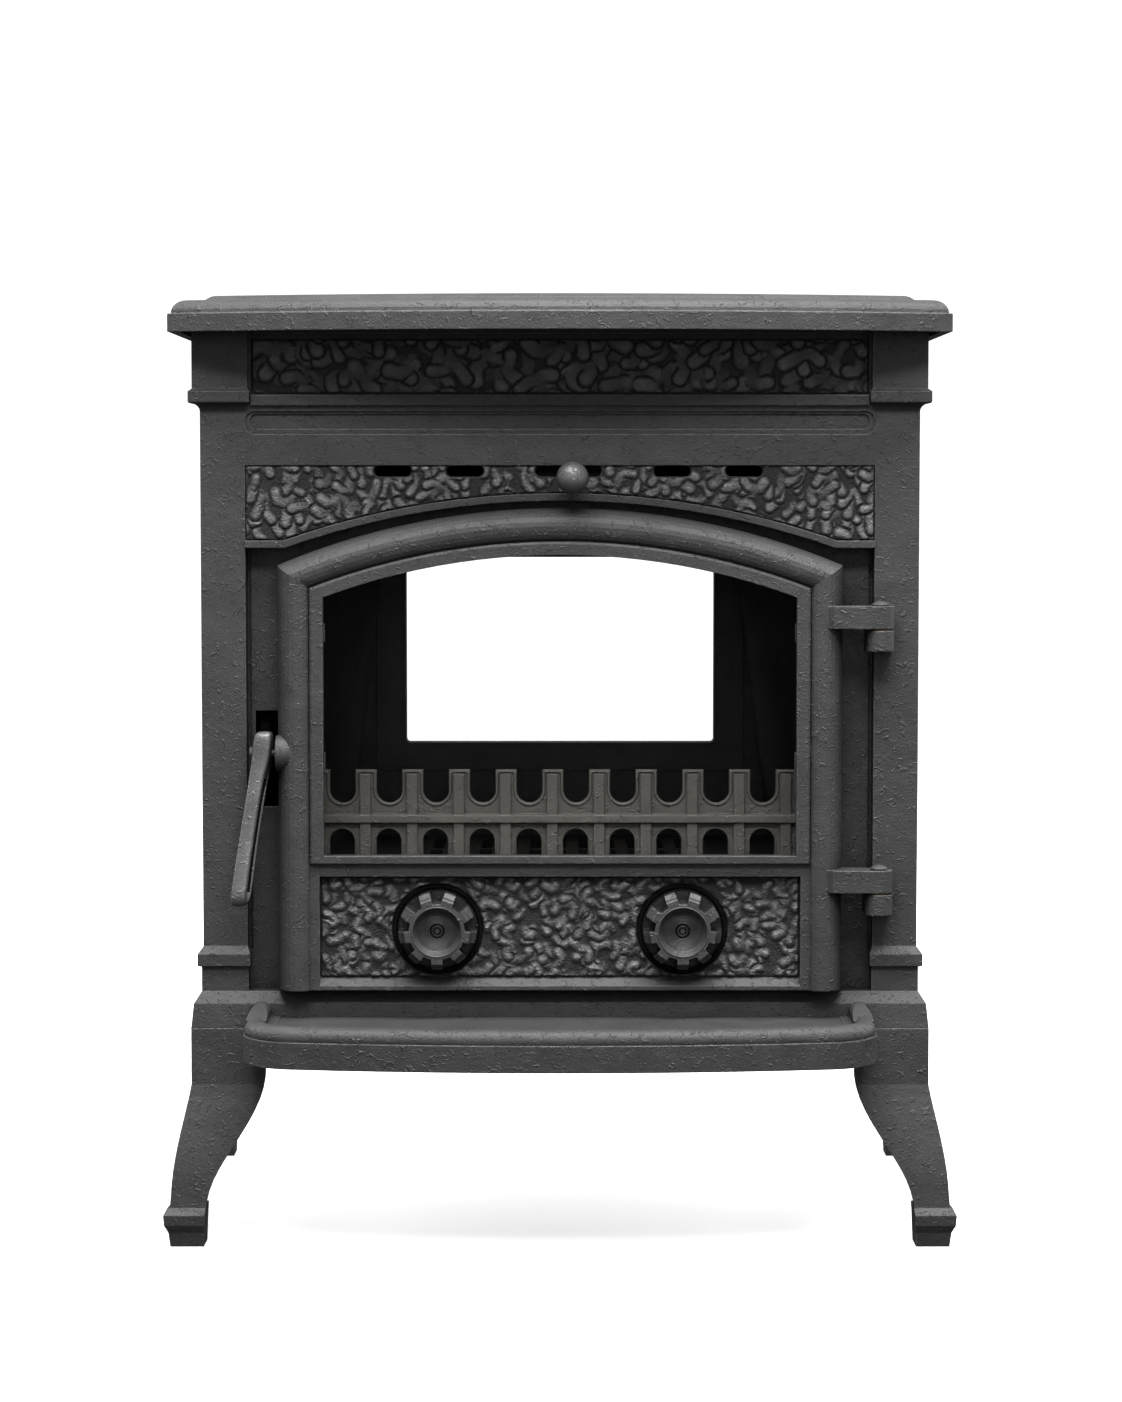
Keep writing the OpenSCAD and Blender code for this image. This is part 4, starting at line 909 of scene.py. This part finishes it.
class StoveFence(bpy.types.Operator):
    """Cast the raised rims round the teeth and arches of the log fence"""
    bl_idname = "stove.fence_rims"
    bl_label = "Fence rims"

    def execute(self, context):
        inset, corner = 1.3 * MM, 2.2 * MM
        top = FENCE_HIGH.z - inset
        half = VALLEY_HALF + inset
        outline = []
        for i in range(-6, 6):
            x = FENCE_X + (i + 0.5) * TOOTH_PITCH + VALLEY_SHIFT
            outline += arc(x - half - corner, top - corner, corner, 90, 0, 4)
            outline += arc(x, VALLEY_Z + VALLEY_HALF, half, 180, 360, 15)
            outline += arc(x + half + corner, top - corner, corner, 180, 90, 4)
        reach = FENCE_HIGH.x - inset
        outline = [point for point in outline if abs(point[0]) < reach]
        beads = [path_bead(outline, 1.15 * MM, 0.9 * MM, FENCE_FACE)]
        side, bend = ARCH_HALF + 0.8 * MM, ARCH_FOOT + 8 * MM
        for i in range(-5, 5):
            x = FENCE_X + (i + 0.5) * TOOTH_PITCH
            path = [(x - side, ARCH_FOOT), (x - side, bend),
                    *arc(x, ARCH_Z, side, 180, 0, 15), (x + side, bend), (x + side, ARCH_FOOT)]
            beads.append(path_bead(path, 0.6 * MM, 0.45 * MM, FENCE_FACE))
        new_piece("fence_rims", *joined(beads), material("ashy_iron"), "stove", "fence_iron")
        return {"FINISHED"}


# A dial, in mm: thickness of its disc, depth of the panel behind it, and the radius, half
# width and height of each turned ring. The eye's grooves and the shadow ring are dark rings
# of painted shade, in the grooves of the eye and in the gap round the dial.
DISC_THICK = 4.5
PANEL_FACE = -9.2
RIM_BEAD, CUP_BEAD = (29.9, 0.75, 0.7), (18.9, 0.7, 0.5)
EYE_BEAD = (3.6, 0.7, 0.9)
EYE_GROOVES = ((5.1, 0.6, 0.2), (2.4, 0.5, 0.2))
SHADOW = (33, 1.8, 0.4)


class StoveDials(bpy.types.Operator):
    """Turn the beads of the two air dials, with dark rings of painted shade in their eyes and
    behind them
    """
    bl_idname = "stove.dials"
    bl_label = "Dials"

    def execute(self, context):
        cup, disc = DIAL_LOW.y, DIAL_HIGH.y - DISC_THICK * MM
        for side, name in ((-1, "left"), (1, "right")):
            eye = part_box(name + "_dial_insert")[0].y

            def rings(*beads):
                return joined([ring_bead((side * DIAL_X, DIAL_Z), *(v * MM for v in bead), face)
                               for bead, face in beads])

            new_piece(name + "_dial_beads", *rings((RIM_BEAD, disc), (CUP_BEAD, cup)),
                      material("dial_iron"), name + "_dial", "outer_iron")
            new_piece(name + "_dial_eye", *rings((EYE_BEAD, eye)),
                      material("dial_iron"), name + "_insert", "outer_iron")
            # Painted shade: dark rings stand in the eye's grooves
            new_piece(name + "_dial_grooves", *rings(*((groove, eye) for groove in EYE_GROOVES)),
                      material("soot_and_shade_iron"), name + "_insert", "firebox_iron")
            # Painted shadow: a dark ring in the gap round the dial
            new_piece(name + "_dial_shadow", *rings((SHADOW, depth(PANEL_FACE))),
                      material("soot_and_shade_iron"), "door", "firebox_iron")
        return {"FINISHED"}


# Down the lever from its top: height, front edge's x and y, depth, width, turn and
# depth of the channel, all from the pivot, in mm and degrees
LEVER = (
    (16.8, 1.2, -5.0, 6.0, 6.5, 8, 0.0), (15.8, 0.8, -8.2, 11.5, 9.8, 8, 0.0),
    (12.0, 0.3, -9.8, 14.5, 11.0, 8, 0.0), (5.0, -0.6, -10.3, 18.0, 11.4, 9, 0.0),
    (0.0, -1.2, -10.5, 19.5, 11.4, 10, 0.0), (-6.0, -2.1, -10.9, 19.0, 11.0, 11, 0.0),
    (-12.0, -3.4, -11.6, 17.6, 10.2, 13, 0.0), (-19.0, -4.8, -13.0, 16.5, 9.6, 15, 0.6),
    (-26.0, -5.9, -14.6, 15.5, 9.4, 17, 2.8), (-34.0, -7.1, -16.4, 15.0, 9.3, 17, 3.4),
    (-49.0, -9.3, -19.7, 14.8, 9.3, 17, 3.4), (-64.0, -11.5, -23.2, 15.0, 9.4, 17, 3.4),
    (-80.0, -13.7, -27.9, 15.5, 9.6, 17, 3.4), (-96.0, -15.6, -32.4, 16.0, 9.8, 17, 3.2),
    (-103.5, -16.6, -34.4, 15.8, 9.9, 17, 2.0), (-109.5, -17.1, -34.4, 14.0, 9.7, 17, 0.0),
    (-112.8, -17.3, -32.4, 10.0, 8.2, 17, 0.0), (-113.9, -17.4, -29.9, 5.0, 4.0, 17, 0.0),
)

# Sides and stations of the lever's skin where its channel is painted dark, as painted shade
CHANNEL_SIDES = (7, 8)
CHANNEL_STATIONS = range(7, 14)

# Outline of the latch hook along y and z, and its two sides along x, from the pivot in mm
HOOK = ((-2, 5), (-2, -6.5), (24, -9), (42, 8), (42, 27), (35, 27), (34, 12), (22, 5))
HOOK_SIDES = (-5, 3)


class StoveHandle(bpy.types.Operator):
    """Shape the lever handle and its latch hook"""
    bl_idname = "stove.handle"
    bl_label = "Handle"

    def execute(self, context):
        pin_low, pin_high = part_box("handle_pin")
        lever_half = 5.5 * MM
        pivot = Vector((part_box("handle")[1].x - lever_half, (pin_low.y + pin_high.y) / 2,
                        (pin_low.z + pin_high.z) / 2))
        rings = []
        for z, x, y, deep, wide, turn, channel in LEVER:
            r, u = min(wide, deep) * 0.2, wide * 0.6
            lip, ditch = u - 0.4 * channel / 3.4, u - 1.5 * channel
            section = [
                (-u + r, 0), (0, -0.4), (u - r, 0), (u - 0.3 * r, 0.3 * r), (u, r),
                (u, 0.24 * deep), (lip, 0.29 * deep), (ditch, 0.33 * deep),
                (ditch, 0.7 * deep), (lip, 0.74 * deep), (u, 0.78 * deep),
                (u, deep - r), (u - r, deep), (0, deep), (-u + r, deep), (-u, deep - r),
                (-u, deep / 2), (-u, r), (-u + 0.3 * r, 0.3 * r)]
            c, t = math.cos(math.radians(turn)), math.sin(math.radians(turn))
            rings.append([pivot + MM * Vector((x + a * c + b * t, y - a * t + b * c, z))
                          for a, b in section])
        lever = new_piece("handle_lever", *loft(rings), material("rubbed_iron"), "handle",
                          "satin_iron")
        # Painted shade: the channel's faces take the dark soot finish
        lever.data.materials.append(material("soot_and_shade_iron"))
        for i, face in enumerate(lever.data.polygons):
            station, side = divmod(i, len(section))
            if side in CHANNEL_SIDES and station in CHANNEL_STATIONS:
                face.material_index = 1
        smooth = lever.modifiers.new("smooth", "SUBSURF")
        smooth.levels = smooth.render_levels = 2
        hook = loft([[pivot + MM * Vector((x, y, z)) for y, z in HOOK] for x in HOOK_SIDES])
        # Painted shade: the hook takes the dark soot finish, where it sits in the shadowed slot
        tongue = new_piece("handle_hook", *hook, material("soot_and_shade_iron"), "handle",
                           "firebox_iron", smooth=False)
        edges = tongue.modifiers.new("edges", "BEVEL")
        edges.width, edges.segments = 0.9 * MM, 3
        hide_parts("handle")
        return {"FINISHED"}


# Floor of the studio, in metres: its flat radius, the sweep up its rim and its top
FLOOR_R, SWEEP_R, FLOOR_TOP = 5.0, 2.5, 8.0
FLOOR_SIDES = 64
CAMERA_X = 0.8 * MM  # how far the photo's camera stands to the right

# Softboxes: name, place, what it looks at, size in metres, power in watts and whether
# the iron mirrors it
SOFTBOXES = (
    ("overhead_softbox", (0.15, -0.75, 2.5), (0, 0, 0.35), (2.2, 0.5), 140, True),
    ("key_softbox", (0.05, -2.0, 2.5), (0, 0, 0.35), (1.8, 0.6), 85, True),
    ("front_softbox", (0.3, -3.2, 0.9), (0, 0, 0.3), (1.6, 1.2), 10, True),
    ("left_softbox", (-2.3, -1.9, 1.3), (0, 0, 0.4), (0.7, 1.8), 6, True),
    ("right_softbox", (2.6, -1.6, 1.3), (0, 0, 0.4), (0.7, 1.8), 12, True),
    ("rear_softbox", (0.5, 2.7, 2.0), (0, 0, 0.4), (2.4, 1.4), 120, False),
    ("left_rear_softbox", (-2.6, 1.0, 1.7), (0, 0, 0.35), (1.2, 1.6), 60, True),
    ("right_rear_softbox", (2.6, 1.0, 1.7), (0, 0, 0.35), (1.2, 1.6), 60, True),
)


class StoveStage(bpy.types.Operator):
    """Set up the pale floor, soft light and camera"""
    bl_idname = "stove.stage"
    bl_label = "Studio"

    def execute(self, context):
        scene = context.scene
        s = scene.stove_studio
        scene.view_settings.view_transform = "Standard"
        pale = Finish("pale_floor")
        cloud = pale.noise(0.9, 2.0)
        pale.set(Metallic=0.0, IOR=1.3, Emission_Color=(1, 1, 1, 1))
        # Painted shade: the floor's glow is dimmed to 0.68 within 0.8 m of the middle, rising to
        # full at 2 m, so that the stove's shadow shows round its foot
        away = pale.node("ShaderNodeVectorMath", operation="LENGTH")
        pale.link(pale.place, away.inputs[0])
        glow = pale.spread(away.outputs["Value"], 0.8, 2.0, 0.68 * s.floor_glow, s.floor_glow)
        pale.link(glow, pale.shader.inputs["Emission Strength"])
        tone = pale.ramp(cloud, [(0.3, (0.6, 0.6, 0.6)), (0.7, (0.62, 0.62, 0.62))])
        floor_paint = pale.done(tone, pale.spread(cloud, 0.3, 0.7, 0.85, 0.95))
        profile = [(3.0, 0.0), (FLOOR_R, 0.0), *arc(FLOOR_R, SWEEP_R, SWEEP_R, -80, 0, 9),
                   (FLOOR_R + SWEEP_R, FLOOR_TOP)]
        turns = [2 * math.pi * i / FLOOR_SIDES for i in range(FLOOR_SIDES)]
        verts = [(r * math.cos(turn), r * math.sin(turn), z) for r, z in profile
                 for turn in turns]
        verts.append((0, 0, 0))
        faces = []
        for i in range(FLOOR_SIDES):
            j = (i + 1) % FLOOR_SIDES
            faces.append((len(verts) - 1, i, j))
            for k in range(0, (len(profile) - 1) * FLOOR_SIDES, FLOOR_SIDES):
                faces.append((k + i, k + FLOOR_SIDES + i, k + FLOOR_SIDES + j, k + j))
        mesh = bpy.data.meshes.new("studio_floor")
        mesh.from_pydata(verts, [], faces)
        mesh.shade_smooth()
        mesh.materials.append(floor_paint)
        floor = bpy.data.objects.new("studio_floor", mesh)
        floor.visible_diffuse = False
        floor.visible_glossy = False
        scene.collection.objects.link(floor)

        world = bpy.data.worlds.new("studio_surround")
        scene.world = world
        world.use_nodes = True
        tree = world.node_tree
        sky = tree.nodes["Background"]
        sky.inputs["Strength"].default_value = s.brightness
        split = tree.nodes.new("ShaderNodeSeparateXYZ")
        tree.links.new(tree.nodes.new("ShaderNodeTexCoord").outputs["Generated"],
                       split.inputs["Vector"])
        rise = tree.nodes.new("ShaderNodeMapRange")
        rise.inputs["From Min"].default_value = -0.5
        rise.inputs["From Max"].default_value = 0.9
        tree.links.new(split.outputs["Z"], rise.inputs["Value"])
        ramp = tree.nodes.new("ShaderNodeValToRGB")
        ramp.color_ramp.elements.new(0.45)
        for stop, tone in zip(ramp.color_ramp.elements, (0.17, 0.22, 1.0)):
            stop.color = (tone, tone, tone, 1)
        tree.links.new(rise.outputs["Result"], ramp.inputs["Fac"])
        tree.links.new(ramp.outputs["Color"], sky.inputs["Color"])

        for name, place, target, size, power, mirrored in SOFTBOXES:
            data = bpy.data.lights.new(name, "AREA")
            data.shape = "RECTANGLE"
            data.size, data.size_y = size
            data.energy = power * s.light
            light = bpy.data.objects.new(name, data)
            light.location = place
            look = Vector(target) - Vector(place)
            light.rotation_euler = look.to_track_quat("-Z", "Y").to_euler()
            light.visible_camera = False
            light.visible_glossy = mirrored
            scene.collection.objects.link(light)

        data = bpy.data.cameras.new("studio_camera")
        data.sensor_fit = "VERTICAL"
        data.sensor_height = 36.0
        data.lens = s.focal_length
        camera = bpy.data.objects.new("studio_camera", data)
        camera.location = (CAMERA_X, COLUMN_Y - s.camera_distance, s.camera_height)
        camera.rotation_euler = (math.pi / 2 - s.camera_dip, 0, 0)
        scene.collection.objects.link(camera)
        scene.camera = camera
        return {"FINISHED"}


class STOVE_PT_panel(bpy.types.Panel):
    """Buttons and settings for the stove"""
    bl_label = "Wood stove"
    bl_idname = "STOVE_PT_panel"
    bl_space_type = "VIEW_3D"
    bl_region_type = "UI"
    bl_category = "Stove"

    def draw(self, context):
        for step in STEPS:
            self.layout.operator(step.bl_idname)
        for group in GROUPS:
            box = self.layout.box()
            values = getattr(context.scene, group)
            for key in values.__annotations__:
                box.prop(values, key)


STEPS = (StoveCastings, StoveFirebox, StoveFittings, StoveGlazing, StoveRope, StovePattern,
         StoveFence, StoveDials, StoveHandle, StoveStage)
GROUPS = {"stove_finish": StoveFinish, "stove_relief": StoveRelief, "stove_studio": StoveStudio}


def register():
    """Makes the settings, the steps and the panel known to Blender."""
    for kind in (*GROUPS.values(), *STEPS, STOVE_PT_panel):
        bpy.utils.register_class(kind)
    for name, kind in GROUPS.items():
        setattr(bpy.types.Scene, name, bpy.props.PointerProperty(type=kind))


def unregister():
    """Takes them out again."""
    for name in GROUPS:
        delattr(bpy.types.Scene, name)
    for kind in reversed((*GROUPS.values(), *STEPS, STOVE_PT_panel)):
        bpy.utils.unregister_class(kind)


def main():
    """Runs every step in order."""
    register()
    for step in STEPS:
        group, name = step.bl_idname.split(".")
        getattr(getattr(bpy.ops, group), name)()


if __name__ == "__main__":
    main()
